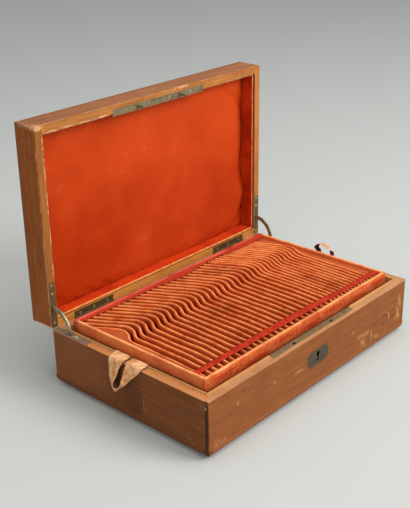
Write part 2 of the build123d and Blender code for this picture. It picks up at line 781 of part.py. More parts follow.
def main():
    os.makedirs("parts", exist_ok=True)
    save("base_bottom_board", soft_slab(0, bottom_thickness, bottom_rounding, True))
    save("base_front_board", base_front_board())
    save("base_back_board", base_back_board())
    save("base_left_board", base_end_board(-1))
    save("base_right_board", base_end_board(1))
    save("base_front_liner", base_long_liner(-1))
    save("base_back_liner", base_long_liner(1))
    save("base_left_liner", base_end_liner(-1))
    save("base_right_liner", base_end_liner(1))
    save("base_floor_lining", floor_sheet())
    save("tray_rests", tray_rests())

    save("lock_plate", lock_plate())
    save("lock_case", lock_case())
    save("lock_bolt", lock_bolt())
    save("key_post", key_post())
    save("lock_screws", screws(lock_places(), base_height, 1))
    save("escutcheon", escutcheon())

    save("lid_top_panel", opened(soft_slab(lid_ceiling, lid_top, top_rounding, False)))
    save("lid_front_board", opened(lid_front_board()))
    save("lid_back_board", opened(lid_back_board()))
    save("lid_left_board", opened(lid_end_board(-1)))
    save("lid_right_board", opened(lid_end_board(1)))
    save("lid_front_liner", opened(lid_long_liner(-1)))
    save("lid_back_liner", opened(lid_long_liner(1)))
    save("lid_left_liner", opened(lid_end_liner(-1)))
    save("lid_right_liner", opened(lid_end_liner(1)))
    save("lid_lining", opened(lid_lining()))
    save("link_plate", opened(link_plate()))
    save("link_screws", [opened(s) for s in screws(link_places(), lid_rim, -1)])

    for name, side in (("left", -1), ("right", 1)):
        save("hinge_leaf_base_" + name, hinge_leaf(side, False))
        save("hinge_leaf_lid_" + name, opened(hinge_leaf(side, True)))
        save("hinge_pin_" + name, hinge_rod(side, pin_radius))
        save("stay_plate_base_" + name, stay_plate(side, False))
        save("stay_plate_lid_" + name, opened(stay_plate(side, True)))
        save("stay_arm_" + name, stay_arm(side))
    save("hinge_screws_base", screws(hinge_places(), base_height, 1))
    save("hinge_screws_lid", [opened(s) for s in screws(hinge_places(), lid_rim, -1)])
    save("stay_screws_base", screws(stay_places(), base_height, 1))
    save("stay_screws_lid", [opened(s) for s in screws(stay_places(), lid_rim, -1)])

    save("tray_front_wall", tray_long_wall(-1))
    save("tray_back_wall", tray_long_wall(1))
    save("tray_left_wall", tray_end_wall(-1))
    save("tray_right_wall", tray_end_wall(1))
    save("tray_bottom", tray_bottom())
    way = rib_way()
    save("tray_ribs_table", [rib(way, x) for x in table_rib_places()])
    save("tray_ribs_dessert", [rib(way, x) for x in dessert_rib_places()])
    save("tray_packing_left", packing(way, table_rib_places()[0], -1))
    save("tray_packing_right", packing(way, dessert_rib_places()[-1], 1))
    save("tray_front_ribbon", front_ribbon())
    save("tray_rear_ribbon", rear_ribbon())
    save("pull_tab_left", pull_tab_left())
    save("pull_tab_right", pull_tab_right())
    lid_height = lid_top - lid_rim
    print("length %.1f depth %.1f base %.1f lid %.1f" % (box_length, box_depth, base_height, lid_height))


main()
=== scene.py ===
"""Looks of an antique cutlery chest that stands open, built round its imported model."""

import logging
import math
from dataclasses import dataclass, field
from enum import Enum
from typing import Callable, Iterable, Sequence, Union

import bmesh
import bpy
import numpy as np
from mathutils import Matrix, Vector, noise


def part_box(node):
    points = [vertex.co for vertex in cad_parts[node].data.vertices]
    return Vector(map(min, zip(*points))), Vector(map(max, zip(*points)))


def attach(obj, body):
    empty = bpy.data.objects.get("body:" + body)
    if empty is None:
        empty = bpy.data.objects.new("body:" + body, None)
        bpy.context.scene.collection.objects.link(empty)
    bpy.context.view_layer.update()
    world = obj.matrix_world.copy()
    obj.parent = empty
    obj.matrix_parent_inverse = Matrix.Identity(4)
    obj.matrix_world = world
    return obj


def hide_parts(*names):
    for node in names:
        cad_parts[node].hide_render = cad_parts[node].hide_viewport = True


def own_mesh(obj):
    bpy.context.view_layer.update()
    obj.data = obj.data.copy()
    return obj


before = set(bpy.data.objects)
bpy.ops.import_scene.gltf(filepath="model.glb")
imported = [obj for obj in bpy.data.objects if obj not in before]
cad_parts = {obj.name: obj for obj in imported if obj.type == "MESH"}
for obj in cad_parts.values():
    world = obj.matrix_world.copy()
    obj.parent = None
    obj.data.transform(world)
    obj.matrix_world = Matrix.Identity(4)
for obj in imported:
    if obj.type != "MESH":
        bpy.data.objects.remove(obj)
log = logging.getLogger("chest")
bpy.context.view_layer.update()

MM = 0.001
Socket = bpy.types.NodeSocket
Value = Union[float, Sequence[float], Socket]
Paint = tuple[float, float, float, float]
Point = tuple[float, float, float]


def paint(red: int, green: int, blue: int) -> Paint:
    """A linear colour from the numbers on a paint chart.

    Args:
        red: from 0 to 255.
        green: from 0 to 255.
        blue: from 0 to 255.

    Returns:
        The opaque colour.
    """
    def linear(v: float) -> float:
        """One channel without its display curve."""
        v /= 255
        return v / 12.92 if v <= 0.04045 else ((v + 0.055) / 1.055) ** 2.4
    return (linear(red), linear(green), linear(blue), 1.0)


class Axis(Enum):
    """The way that a board's grain runs, or a cloth's threads."""

    X = (1.0, 0.0, 0.0)
    Y = (0.0, 1.0, 0.0)
    Z = (0.0, 0.0, 1.0)


def feed(socket: Socket, value: Value) -> None:
    """Links an input to another socket, or gives it a constant.

    Args:
        socket: the input.
        value: the other socket or the constant.
    """
    if isinstance(value, bpy.types.NodeSocket):
        socket.id_data.links.new(value, socket)
    else:
        socket.default_value = value


class Graph:
    """A node tree that is filled by short calls, each of which returns an output socket."""

    def __init__(self, tree: bpy.types.NodeTree) -> None:
        """Starts on an empty tree.

        Args:
            tree: the material's or the group's node tree.
        """
        self.tree = tree

    def put(self, kind: str, inputs: dict | None = None, out: int | str = 0, **settings: object) -> Socket:
        """Adds one shader node.

        Args:
            kind: the node's type without its ShaderNode prefix.
            inputs: values or sockets for its inputs, by name or number.
            out: which output to return.
            **settings: properties of the node.

        Returns:
            The chosen output socket.
        """
        node = self.tree.nodes.new("ShaderNode" + kind)
        for name, value in settings.items():
            setattr(node, name, value)
        for key, value in (inputs or {}).items():
            feed(node.inputs[key], value)
        return node.outputs[out]

    def math(self, operation: str, a: Value, b: Value = 0.0) -> Socket:
        """A Math node: one sum on two values."""
        return self.put("Math", {0: a, 1: b}, operation=operation)

    def times(self, a: Value, b: Value) -> Socket:
        """One value times another."""
        return self.math("MULTIPLY", a, b)

    def plus(self, a: Value, b: Value) -> Socket:
        """One value and another."""
        return self.math("ADD", a, b)

    def minus(self, a: Value, b: Value) -> Socket:
        """One value less another."""
        return self.math("SUBTRACT", a, b)

    def rest(self, a: Value) -> Socket:
        """What a value leaves of 1."""
        return self.math("SUBTRACT", 1.0, a)

    def vector(self, operation: str, a: Value, b: Value = (0.0, 0.0, 0.0), out: int | str = 0) -> Socket:
        """A Vector Math node: one sum on two vectors."""
        return self.put("VectorMath", {0: a, 1: b}, out, operation=operation)

    def mix(self, factor: Value, a: Value, b: Value) -> Socket:
        """A colour between two colours, the factor being how much of the second."""
        return self.put("Mix", {0: factor, 6: a, 7: b}, 2, data_type="RGBA")

    def between(self, factor: Value, a: Value, b: Value) -> Socket:
        """A value between two values, the factor being how much of the second."""
        return self.put("Mix", {0: factor, 2: a, 3: b}, 0, data_type="FLOAT")

    def rise(self, value: Value, low: Value, high: Value) -> Socket:
        """0 below low and 1 above high, with a soft step between.

        Args:
            value: what is tested.
            low: where the step starts.
            high: where the step ends.

        Returns:
            The step.
        """
        inputs = {"Value": value, "From Min": low, "From Max": high}
        return self.put("MapRange", inputs, interpolation_type="SMOOTHSTEP")

    def noise(self, vector: Socket, scale: Value, detail: float = 3.0, roughness: float = 0.5,
              out: int | str = 0) -> Socket:
        """Cloudy noise.

        Args:
            vector: the place.
            scale: clouds per metre.
            detail: how many finer layers.
            roughness: how strong they are.
            out: which output to return.

        Returns:
            A value near 0.5.
        """
        inputs = {"Vector": vector, "Scale": scale, "Detail": detail, "Roughness": roughness}
        return self.put("TexNoise", inputs, out)

    def place(self) -> Socket:
        """The place on the piece in the model's own frame, which rides with it."""
        return self.put("TexCoord", out="Object")

    def facing(self) -> Socket:
        """The surface's own direction in the model's frame."""
        return self.put("TexCoord", out="Normal")

    def part(self, vector: Socket, axis: Axis) -> Socket:
        """One coordinate of a vector."""
        return self.put("SeparateXYZ", {0: vector}, axis.name)

    def group(self, tree: bpy.types.NodeTree, inputs: dict, out: int | str = 0) -> Socket:
        """Places a node group with its own values, and returns one of its outputs."""
        return self.put("Group", inputs, out, node_tree=tree)


def effect(name: str, inputs: dict[str, Value], outputs: Sequence[str],
           fill: Callable[[Graph, dict[str, Socket]], dict[str, Socket]]) -> bpy.types.NodeTree:
    """Builds a shader node group with named inputs and outputs.

    Args:
        name: the group's name.
        inputs: input names with their first values; a triple makes a vector.
        outputs: names of the values that it puts out.
        fill: makes the nodes from the input sockets and returns the outputs by name.

    Returns:
        The group.
    """
    tree = bpy.data.node_groups.new(name, "ShaderNodeTree")
    for key, value in inputs.items():
        kind = "NodeSocketVector" if isinstance(value, (tuple, list)) else "NodeSocketFloat"
        tree.interface.new_socket(key, in_out="INPUT", socket_type=kind).default_value = value
    for key in outputs:
        tree.interface.new_socket(key, in_out="OUTPUT", socket_type="NodeSocketFloat")
    start = tree.nodes.new("NodeGroupInput")
    end = tree.nodes.new("NodeGroupOutput")
    made = fill(Graph(tree), {key: start.outputs[key] for key in inputs})
    for key in outputs:
        tree.links.new(made[key], end.inputs[key])
    return tree


class Effects:
    """The shader effects that several finishes share, each a node group built once."""

    def __init__(self) -> None:
        """Builds every group."""
        here, even = (0.0, 0.0, 0.0), (1.0, 1.0, 1.0)
        self.grain = effect("wood_grain", {"Place": here, "Stretch": even, "Seed": 0.0},
                            ("Tone", "Pores", "Height"), self._grain)
        self.wear = effect("edge_wear", {"Place": here, "Low": here, "High": here, "Width": 0.002,
                                         "Rag": 0.5}, ("Mask",), self._wear)
        self.spot = effect("spot_mark", {"Place": here, "Centre": here, "Size": (0.01, 0.01, 0.01),
                                         "Rag": 0.5}, ("Mask",), self._spot)
        self.arc = effect("arc_scratch", {"Place": here, "Centre": here, "Radius": 0.01, "Width": 0.0005,
                                          "Side": Axis.Z.value}, ("Mask",), self._arc)
        self.scratch = effect("fine_scratches", {"Place": here, "Stretch": even, "Amount": 0.5},
                              ("Mask",), self._scratch)
        self.nap = effect("suede_nap", {"Place": here, "Scale": 1.0}, ("Tone", "Height"), self._nap)
        self.weave = effect("thread_weave", {"Place": here, "Threads": 1500.0}, ("Tone", "Height"),
                            self._weave)
        self.patina = effect("metal_patina", {"Place": here, "Stretch": even},
                             ("Tone", "Blotch", "Height"), self._patina)
        self.grime = effect("grime", {"Place": here, "Amount": 0.5}, ("Mask",), self._grime)

    @staticmethod
    def _grain(g: Graph, i: dict[str, Socket]) -> dict[str, Socket]:
        """Streaks, pores and slow bands of a plank.

        Args:
            g: the group's graph.
            i: its inputs.

        Returns:
            Tone, Pores and Height.
        """
        shift = g.put("CombineXYZ", {0: i["Seed"], 1: i["Seed"], 2: i["Seed"]})
        place = g.vector("ADD", i["Place"], shift)
        bent = g.vector("SCALE", g.noise(place, 9.0, 2.0, out="Color"), (0, 0, 0))
        bent.node.inputs["Scale"].default_value = 0.008
        long = g.vector("MULTIPLY", g.vector("ADD", place, bent), i["Stretch"])
        streaks = g.noise(long, 240.0, 4.0, 0.62)
        pores = g.noise(long, 800.0, 2.0, 0.6)
        clouds = g.noise(place, 16.0, 4.0, 0.6)
        specks = g.noise(place, 420.0, 3.0, 0.65)
        tone = g.between(0.5, streaks, g.between(0.4, clouds, specks))
        dark = g.rise(pores, 0.56, 0.7)
        height = g.minus(streaks, g.times(dark, 0.5))
        return {"Tone": g.rise(tone, 0.3, 0.7), "Pores": dark, "Height": height}

    @staticmethod
    def _wear(g: Graph, i: dict[str, Socket]) -> dict[str, Socket]:
        """A ragged band along the edges of a box.

        Args:
            g: the group's graph.
            i: its inputs.

        Returns:
            Mask.
        """
        low = g.vector("ABSOLUTE", g.vector("SUBTRACT", i["Place"], i["Low"]))
        high = g.vector("ABSOLUTE", g.vector("SUBTRACT", i["High"], i["Place"]))
        near = g.put("SeparateXYZ", {0: g.vector("MINIMUM", low, high)}).node.outputs
        smaller = g.math("MINIMUM", near[0], near[1])
        larger = g.math("MAXIMUM", near[0], near[1])
        second = g.math("MINIMUM", larger, g.math("MAXIMUM", smaller, near[2]))
        ragged = g.times(g.noise(i["Place"], 90.0, 4.0, 0.7), i["Rag"])
        reach = g.times(i["Width"], g.plus(ragged, 0.4))
        return {"Mask": g.rest(g.rise(second, g.times(reach, 0.4), reach))}

    @staticmethod
    def _spot(g: Graph, i: dict[str, Socket]) -> dict[str, Socket]:
        """One ragged oval patch.

        Args:
            g: the group's graph.
            i: its inputs.

        Returns:
            Mask.
        """
        away = g.vector("DIVIDE", g.vector("SUBTRACT", i["Place"], i["Centre"]), i["Size"])
        far = g.vector("LENGTH", away, out="Value")
        torn = g.times(g.minus(g.noise(i["Place"], 260.0, 4.0, 0.7), 0.5), i["Rag"])
        edge = g.plus(far, g.times(torn, 3.0))
        return {"Mask": g.rest(g.rise(edge, 0.55, 1.05))}

    @staticmethod
    def _arc(g: Graph, i: dict[str, Socket]) -> dict[str, Socket]:
        """A thin curved scratch, the part of a ring on one side of its middle.

        Args:
            g: the group's graph.
            i: its inputs.

        Returns:
            Mask.
        """
        far = g.vector("DISTANCE", i["Place"], i["Centre"], out="Value")
        off = g.math("ABSOLUTE", g.minus(far, i["Radius"]))
        line = g.rest(g.rise(off, g.times(i["Width"], 0.4), i["Width"]))
        way = g.vector("NORMALIZE", g.vector("SUBTRACT", i["Place"], i["Centre"]))
        part = g.rise(g.vector("DOT_PRODUCT", way, i["Side"], out="Value"), 0.1, 0.5)
        return {"Mask": g.times(line, part)}

    @staticmethod
    def _scratch(g: Graph, i: dict[str, Socket]) -> dict[str, Socket]:
        """Sparse thin lines.

        Args:
            g: the group's graph.
            i: its inputs.

        Returns:
            Mask.
        """
        fine = g.noise(g.vector("MULTIPLY", i["Place"], i["Stretch"]), 300.0, 1.0, 0.4)
        lines = g.rise(fine, 0.68, 0.76)
        some = g.rise(g.noise(i["Place"], 22.0, 2.0), 0.46, 0.66)
        return {"Mask": g.times(g.times(lines, some), i["Amount"])}

    @staticmethod
    def _nap(g: Graph, i: dict[str, Socket]) -> dict[str, Socket]:
        """Rubbed suede: clouds where the nap lies another way, and its fine hair.

        Args:
            g: the group's graph.
            i: its inputs.

        Returns:
            Tone and Height.
        """
        place = g.put("VectorMath", {0: i["Place"], 3: i["Scale"]}, operation="SCALE")
        rubbed = g.noise(place, 55.0, 4.0, 0.62)
        hair = g.noise(place, 900.0, 3.0, 0.7)
        tone = g.between(0.3, rubbed, hair)
        return {"Tone": g.rise(tone, 0.36, 0.64), "Height": g.between(0.35, hair, rubbed)}

    @staticmethod
    def _weave(g: Graph, i: dict[str, Socket]) -> dict[str, Socket]:
        """Crossing threads, a little uneven.

        Args:
            g: the group's graph.
            i: its inputs.

        Returns:
            Tone and Height.
        """
        shake = g.vector("MULTIPLY", g.noise(i["Place"], 300.0, 1.0, out="Color"), (0.0004, 0.0004, 0.0004))
        shaken = g.vector("ADD", i["Place"], shake)
        axes = g.put("SeparateXYZ", {0: shaken}).node.outputs
        waves = [g.math("SINE", g.times(g.times(axis, i["Threads"]), 2 * math.pi))
                 for axis in axes]
        height = g.plus(g.times(waves[0], waves[1]), g.times(waves[2], 0.5))
        slow = g.noise(i["Place"], 120.0, 3.0, 0.6)
        return {"Tone": g.rise(slow, 0.3, 0.7), "Height": height}

    @staticmethod
    def _patina(g: Graph, i: dict[str, Socket]) -> dict[str, Socket]:
        """Old metal: slow clouds, streaks and small spots.

        Args:
            g: the group's graph.
            i: its inputs.

        Returns:
            Tone, Blotch and Height.
        """
        streaks = g.noise(g.vector("MULTIPLY", i["Place"], i["Stretch"]), 260.0, 3.0, 0.6)
        clouds = g.noise(i["Place"], 110.0, 4.0, 0.65)
        pits = g.noise(i["Place"], 900.0, 2.0, 0.6)
        return {"Tone": g.rise(g.between(0.5, clouds, streaks), 0.34, 0.66),
                "Blotch": g.rise(clouds, 0.52, 0.66), "Height": g.between(0.4, streaks, pits)}

    @staticmethod
    def _grime(g: Graph, i: dict[str, Socket]) -> dict[str, Socket]:
        """Patches of old dirt and wax.

        Args:
            g: the group's graph.
            i: its inputs.

        Returns:
            Mask.
        """
        wide = g.noise(i["Place"], 18.0, 4.0, 0.6)
        fine = g.noise(i["Place"], 160.0, 3.0, 0.6)
        return {"Mask": g.times(g.rise(g.between(0.3, wide, fine), 0.45, 0.68), i["Amount"])}


class Material:
    """A new material with its Principled shader, on which a finish builds."""

    def __init__(self, name: str, effects: Effects) -> None:
        """Makes the empty material.

        Args:
            name: the finish's name.
            effects: the shared node groups.
        """
        self.data = bpy.data.materials.new(name)
        self.data.use_nodes = True
        self.graph = Graph(self.data.node_tree)
        self.shader = self.data.node_tree.nodes["Principled BSDF"]
        self.effects = effects
        self.place = self.graph.place()

    def set(self, **values: Value) -> None:
        """Sets the shader's inputs, named with _ for a space.

        Args:
            **values: constants or sockets.
        """
        for key, value in values.items():
            feed(self.shader.inputs[key.replace("_", " ")], value)

    def lay(self, tree: bpy.types.NodeTree, **inputs: Value) -> Socket:
        """Lays a shared effect over the piece, at its own places, and returns its first output."""
        return self.graph.group(tree, {"Place": self.place, **inputs})

    def bump(self, height: Socket, strength: float, distance: float) -> None:
        """Gives the surface relief.

        Args:
            height: the relief's height.
            strength: how strongly it shades.
            distance: its depth in metres.
        """
        inputs = {"Strength": strength, "Distance": distance, "Height": height}
        self.set(Normal=self.graph.put("Bump", inputs))


@dataclass(frozen=True)
class Mark:
    """One scuff, stain or scratch, or a patch of painted light or shade, by its place on the chest in
    millimetres.

    Attributes:
        centre: its middle.
        size: its half sizes, or radius and width for an arc.
        colour: its colour.
        strength: how much it covers.
        rag: how torn its edge is.
        arc: whether it is a curved scratch.
        side: for a curved scratch, the way to it from its centre.
    """

    centre: Point
    size: tuple[float, ...]
    colour: Paint
    strength: float = 0.6
    rag: float = 0.6
    arc: bool = False
    side: Point = (0.0, 0.0, 1.0)

    def over(self, m: Material, colour: Socket) -> Socket:
        """Lays the mark over a colour.

        Args:
            m: the material.
            colour: the colour below.

        Returns:
            The colour with the mark.
        """
        centre = tuple(v * MM for v in self.centre)
        size = tuple(v * MM for v in self.size)
        if self.arc:
            mask = m.lay(m.effects.arc, Centre=centre, Radius=size[0], Width=size[1], Side=self.side)
        else:
            mask = m.lay(m.effects.spot, Centre=centre, Size=size, Rag=self.rag)
        return m.graph.mix(m.graph.times(mask, self.strength), colour, self.colour)


@dataclass(frozen=True)
class Rim:
    """The face of a board that meets the other half of the chest.

    Attributes:
        axis: the axis that the face looks along.
        place: where the face lies on that axis, in metres.
        dark: its darker tone.
        light: its lighter tone.
    """

    axis: Axis
    place: float
    dark: Paint
    light: Paint


@dataclass(frozen=True)
class Finish:
    """A finish that one or more pieces are dressed in.

    Attributes:
        name: the finish's name.
    """

    name: str

    def wire(self, m: Material) -> None:
        """Wires the shader, for each kind of finish in its own way."""
        raise NotImplementedError

    def make(self, effects: Effects) -> bpy.types.Material:
        """Builds the material.

        Args:
            effects: the shared node groups.

        Returns:
            The material.
        """
        m = Material(self.name, effects)
        self.wire(m)
        return m.data


@dataclass(frozen=True)
class StainedWood(Finish):
    """Stained and waxed board, rubbed here and there along its edges.

    Attributes:
        dark: stain in the grain.
        light: stain between the grain.
        worn: bare wood on the edges.
        grain: the way the grain runs.
        rim: the paler rim, if the board has one.
        case: the box whose edges are worn, in metres.
        marks: its scuffs and stains.
        dirt: colour of the dirt in the pores, also used for the darkening towards the bottom.
        seed: moves the figure of the wood.
        gloss: roughness of the wax.
        wear: how wide the worn edges are, in metres.
        foot: height below which the wood is darker towards the bottom, in metres.
    """

    dark: Paint
    light: Paint
    worn: Paint
    grain: Axis
    rim: Rim | None = None
    case: tuple[Point, Point] = ((-0.197, -0.125, 0.0), (0.197, 0.125, 0.074))
    marks: tuple[Mark, ...] = ()
    dirt: Paint = paint(46, 24, 12)
    seed: float = 0.0
    gloss: float = 0.62
    wear: float = 0.0014
    foot: float = -1.0

    def wire(self, m: Material) -> None:
        """Wires the shader.

        Args:
            m: the new material.
        """
        g = m.graph
        stretch = tuple(0.07 if a else 1.0 for a in self.grain.value)
        grain = m.lay(m.effects.grain, Stretch=stretch, Seed=self.seed).node.outputs
        colour = g.mix(grain["Tone"], self.dark, self.light)
        colour = g.mix(g.times(grain["Pores"], 0.22), colour, self.dirt)
        grime = m.lay(m.effects.grime, Amount=0.4)
        colour = g.mix(grime, colour, self.dark)
        across = tuple(0.05 if a else 1.0 for a in self.grain.value)
        lines = m.lay(m.effects.scratch, Stretch=across, Amount=0.25)
        colour = g.mix(lines, colour, self.worn)
        chips = g.rise(g.noise(m.place, 520.0, 2.0, 0.5), 0.7, 0.76)
        colour = g.mix(g.times(chips, 0.45), colour, self.worn)
        low, high = self.case
        wear = m.lay(m.effects.wear, Low=low, High=high, Width=self.wear, Rag=0.9)
        patchy = g.rise(g.noise(m.place, 40.0, 3.0, 0.6), 0.42, 0.62)
        rubbed = g.times(wear, g.between(patchy, 0.08, 0.6))
        colour = g.mix(rubbed, colour, self.worn)
        # darker towards the bottom, below the foot height
        if self.foot > 0:
            height = g.part(m.place, Axis.Z)
            low_down = g.rest(g.rise(height, self.foot * 0.15, self.foot))
            colour = g.mix(g.times(low_down, 0.5), colour, self.dirt)
        if self.rim:
            off = g.math("ABSOLUTE", g.minus(g.part(m.place, self.rim.axis), self.rim.place))
            on_rim = g.rest(g.rise(off, 0.0003, 0.0008))
            bare = g.mix(grain["Tone"], self.rim.dark, self.rim.light)
            bare = g.mix(g.times(grime, 0.8), bare, self.dark)
            colour = g.mix(on_rim, colour, bare)
        for mark in self.marks:
            colour = mark.over(m, colour)
        rough = g.between(grain["Tone"], self.gloss + 0.08, self.gloss - 0.04)
        m.set(Base_Color=colour, Roughness=g.plus(rough, g.times(rubbed, 0.2)),
              Specular_IOR_Level=0.16)
        m.bump(g.minus(grain["Height"], g.times(lines, 0.6)), 0.4, 0.0004)


@dataclass(frozen=True)
class LinedWood(Finish):
    """A thin liner board: bare wood on its edges, satin glued to its face.

    Attributes:
        edge: colour of the bare edge.
        edge_dark: its darker streaks.
        deep: the satin in its folds.
        light: the satin where it is faded.
        axis: the way that the bare edge looks.
    """

    edge: Paint
    edge_dark: Paint
    deep: Paint
    light: Paint
    axis: Axis

    def wire(self, m: Material) -> None:
        """Wires the shader.

        Args:
            m: the new material.
        """
        g = m.graph
        clouds = g.rise(g.noise(m.place, 30.0, 4.0, 0.6), 0.35, 0.65)
        weave = m.lay(m.effects.weave, Threads=2200.0).node.outputs
        satin = g.mix(clouds, self.deep, self.light)
        streaks = g.noise(m.place, 160.0, 3.0, 0.6)
        wood = g.mix(g.rise(streaks, 0.4, 0.62), self.edge_dark, self.edge)
        bare = g.rise(g.math("ABSOLUTE", g.part(g.facing(), self.axis)), 0.35, 0.75)
        m.set(Base_Color=g.mix(bare, satin, wood), Roughness=g.between(clouds, 0.8, 0.66),
              Specular_IOR_Level=0.15)
        m.bump(g.between(bare, weave["Height"], streaks), 0.2, 0.0002)


@dataclass(frozen=True)
class Suede(Finish):
    """Worn suede cloth over thin wood: lighter on the rubbed upward tops, partly wear and partly painted
    light, and darker down in the slots, partly unfaded cloth and partly painted shade.

    Attributes:
        deep: colour down in the slots, partly painted shade.
        middle: colour on the sides.
        faded: colour on the rubbed tops, partly painted light.
        low: height where the deep colour ends, in metres.
        high: height where the faded colour starts, in metres.
        box: the box along whose edges it is rubbed, if there is one, in metres.
        marks: stains on it.
    """

    deep: Paint
    middle: Paint
    faded: Paint
    low: float
    high: float
    box: tuple[Point, Point] | None = None
    marks: tuple[Mark, ...] = ()

    def wire(self, m: Material) -> None:
        """Wires the shader.

        Args:
            m: the new material.
        """
        g = m.graph
        nap = m.lay(m.effects.nap, Scale=1.0).node.outputs
        height = g.plus(g.part(m.place, Axis.Z), g.times(g.minus(nap["Tone"], 0.5), 0.0012))
        # darker down in the slots, partly painted shade; lighter on the upward-facing tops, partly painted
        # light
        colour = g.mix(g.rise(height, self.low, self.high - 0.002), self.deep, self.middle)
        rubbed = g.rise(height, self.high - 0.0016, self.high)
        up = g.rise(g.part(g.facing(), Axis.Z), 0.05, 0.75)
        colour = g.mix(g.times(rubbed, g.between(up, 0.35, 1.0)), colour, self.faded)
        colour = g.mix(g.times(nap["Tone"], 0.22), colour, self.faded)
        if self.box:
            edges = m.lay(m.effects.wear, Low=self.box[0], High=self.box[1], Width=0.0018, Rag=0.5)
            colour = g.mix(g.times(edges, 0.7), colour, self.faded)
        colour = g.mix(m.lay(m.effects.grime, Amount=0.55), colour, self.deep)
        threadbare = g.rise(g.noise(m.place, 210.0, 4.0, 0.7), 0.58, 0.7)
        colour = g.mix(g.times(threadbare, 0.4), colour, self.deep)
        for mark in self.marks:
            colour = mark.over(m, colour)
        m.set(Base_Color=colour, Roughness=0.95, Specular_IOR_Level=0.08)
        m.bump(nap["Height"], 0.6, 0.0005)


@dataclass(frozen=True)
class Satin(Finish):
    """Satin lining: close threads, a soft sheen, faded clouds and a painted light gradient.

    Attributes:
        deep: unfaded colour.
        light: faded colour, also the lit end of the painted light gradient.
        pale: colour of the rubbed flecks.
        painted_light_way: the way towards the side that is painted lighter, per metre.
        shade: where along that way the painted light gradient is halfway.
    """

    deep: Paint
    light: Paint
    pale: Paint
    painted_light_way: Point
    shade: float

    def wire(self, m: Material) -> None:
        """Wires the shader.

        Args:
            m: the new material.
        """
        g = m.graph
        weave = m.lay(m.effects.weave, Threads=2200.0).node.outputs
        clouds = g.noise(m.place, 11.0, 2.0, 0.5)
        stains = g.noise(m.place, 27.0, 4.0, 0.6)
        # painted light: lighter towards the lid's top and right, with faded clouds and stains laid over it
        along = g.vector("DOT_PRODUCT", m.place, self.painted_light_way, "Value")
        faded = g.plus(g.minus(along, self.shade), g.times(g.between(0.3, clouds, stains), 1.8))
        tone = g.rise(faded, 0.3, 1.5)
        colour = g.mix(tone, self.deep, self.light)
        flecks = g.times(g.rise(g.noise(m.place, 74.0, 4.0, 0.65), 0.56, 0.74), g.rise(clouds, 0.5, 0.66))
        colour = g.mix(g.times(flecks, 0.28), colour, self.pale)
        m.set(Base_Color=colour, Roughness=g.between(tone, 0.7, 0.6), Specular_IOR_Level=0.06)
        m.bump(g.between(0.6, weave["Height"], stains), 0.15, 0.0003)


@dataclass(frozen=True)
class RibbonCloth(Finish):
    """Ribbon with fine cross ribs, faded and a little dirty.

    Attributes:
        dark: colour in the folds.
        light: faded colour.
        threads: threads per metre.
        calm: how far its clouds and dirt are held back, from 0 to 1.
    """

    dark: Paint
    light: Paint
    threads: float = 1300.0
    calm: float = 0.0

    def wire(self, m: Material) -> None:
        """Wires the shader.

        Args:
            m: the new material.
        """
        g = m.graph
        weave = m.lay(m.effects.weave, Threads=self.threads).node.outputs
        worn = g.noise(m.place, 150.0, 4.0, 0.65)
        tone = g.between(self.calm, g.rise(g.between(0.5, worn, weave["Tone"]), 0.3, 0.7), 0.5)
        colour = g.mix(tone, self.dark, self.light)
        grime = m.lay(m.effects.grime, Amount=0.4 * (1 - self.calm))
        colour = g.mix(grime, colour, self.dark)
        m.set(Base_Color=colour, Roughness=g.between(worn, 0.9, 0.75), Specular_IOR_Level=0.12)
        m.bump(weave["Height"], 0.3, 0.0002)


@dataclass(frozen=True)
class OldMetal(Finish):
    """Brass or steel with its patina.

    Attributes:
        bare: the metal where it is rubbed.
        patina: the metal where it is tarnished.
        spots: colour of the dirt and verdigris on it.
        streak: how the streaks are stretched.
        cover: how much of it is tarnished, from 0 to 1.
        rough: roughness of the bare metal.
        marks: patches on it.
    """

    bare: Paint
    patina: Paint
    spots: Paint
    streak: Point = (1.0, 1.0, 1.0)
    cover: float = 0.6
    rough: float = 0.35
    marks: tuple[Mark, ...] = ()

    def wire(self, m: Material) -> None:
        """Wires the shader.

        Args:
            m: the new material.
        """
        g = m.graph
        old = m.lay(m.effects.patina, Stretch=self.streak).node.outputs
        covered = g.rise(old["Tone"], 0.75 - self.cover, 1.15 - self.cover)
        colour = g.mix(covered, self.bare, self.patina)
        colour = g.mix(g.times(old["Blotch"], 0.55), colour, self.spots)
        for mark in self.marks:
            colour = mark.over(m, colour)
        m.set(Base_Color=colour, Metallic=g.between(covered, 0.75, 0.3),
              Roughness=g.between(covered, self.rough, 0.62))
        m.bump(old["Height"], 0.25, 0.0003)


def smooth_noise(x: float, y: float, z: float) -> float:
    """Steady noise from -1 to 1, the same on every run."""
    return noise.noise(Vector((x, y, z)))


def mesh_piece(name: str, points: np.ndarray, faces: Sequence[Sequence[int]], body: str,
               material: bpy.types.Material, stands_for: Iterable[str] = ()) -> bpy.types.Object:
    """Makes one smooth mesh piece that rides on a body.

    Args:
        name: the piece's name.
        points: its vertices in metres.
        faces: its faces.
        body: the body that it rides on.
        material: its finish.
        stands_for: the model's nodes that it replaces.

    Returns:
        The piece.
    """
    mesh = bpy.data.meshes.new(name)
    mesh.from_pydata([tuple(map(float, p)) for p in points], [], [tuple(map(int, f)) for f in faces])
    mesh.validate()
    work = bmesh.new()
    work.from_mesh(mesh)
    bmesh.ops.recalc_face_normals(work, faces=work.faces)
    work.to_mesh(mesh)
    work.free()
    mesh.shade_smooth()
    mesh.materials.append(material)
    piece = bpy.data.objects.new(name, mesh)
    bpy.context.scene.collection.objects.link(piece)
    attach(piece, body)
    for node in stands_for:
        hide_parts(node)
    return piece


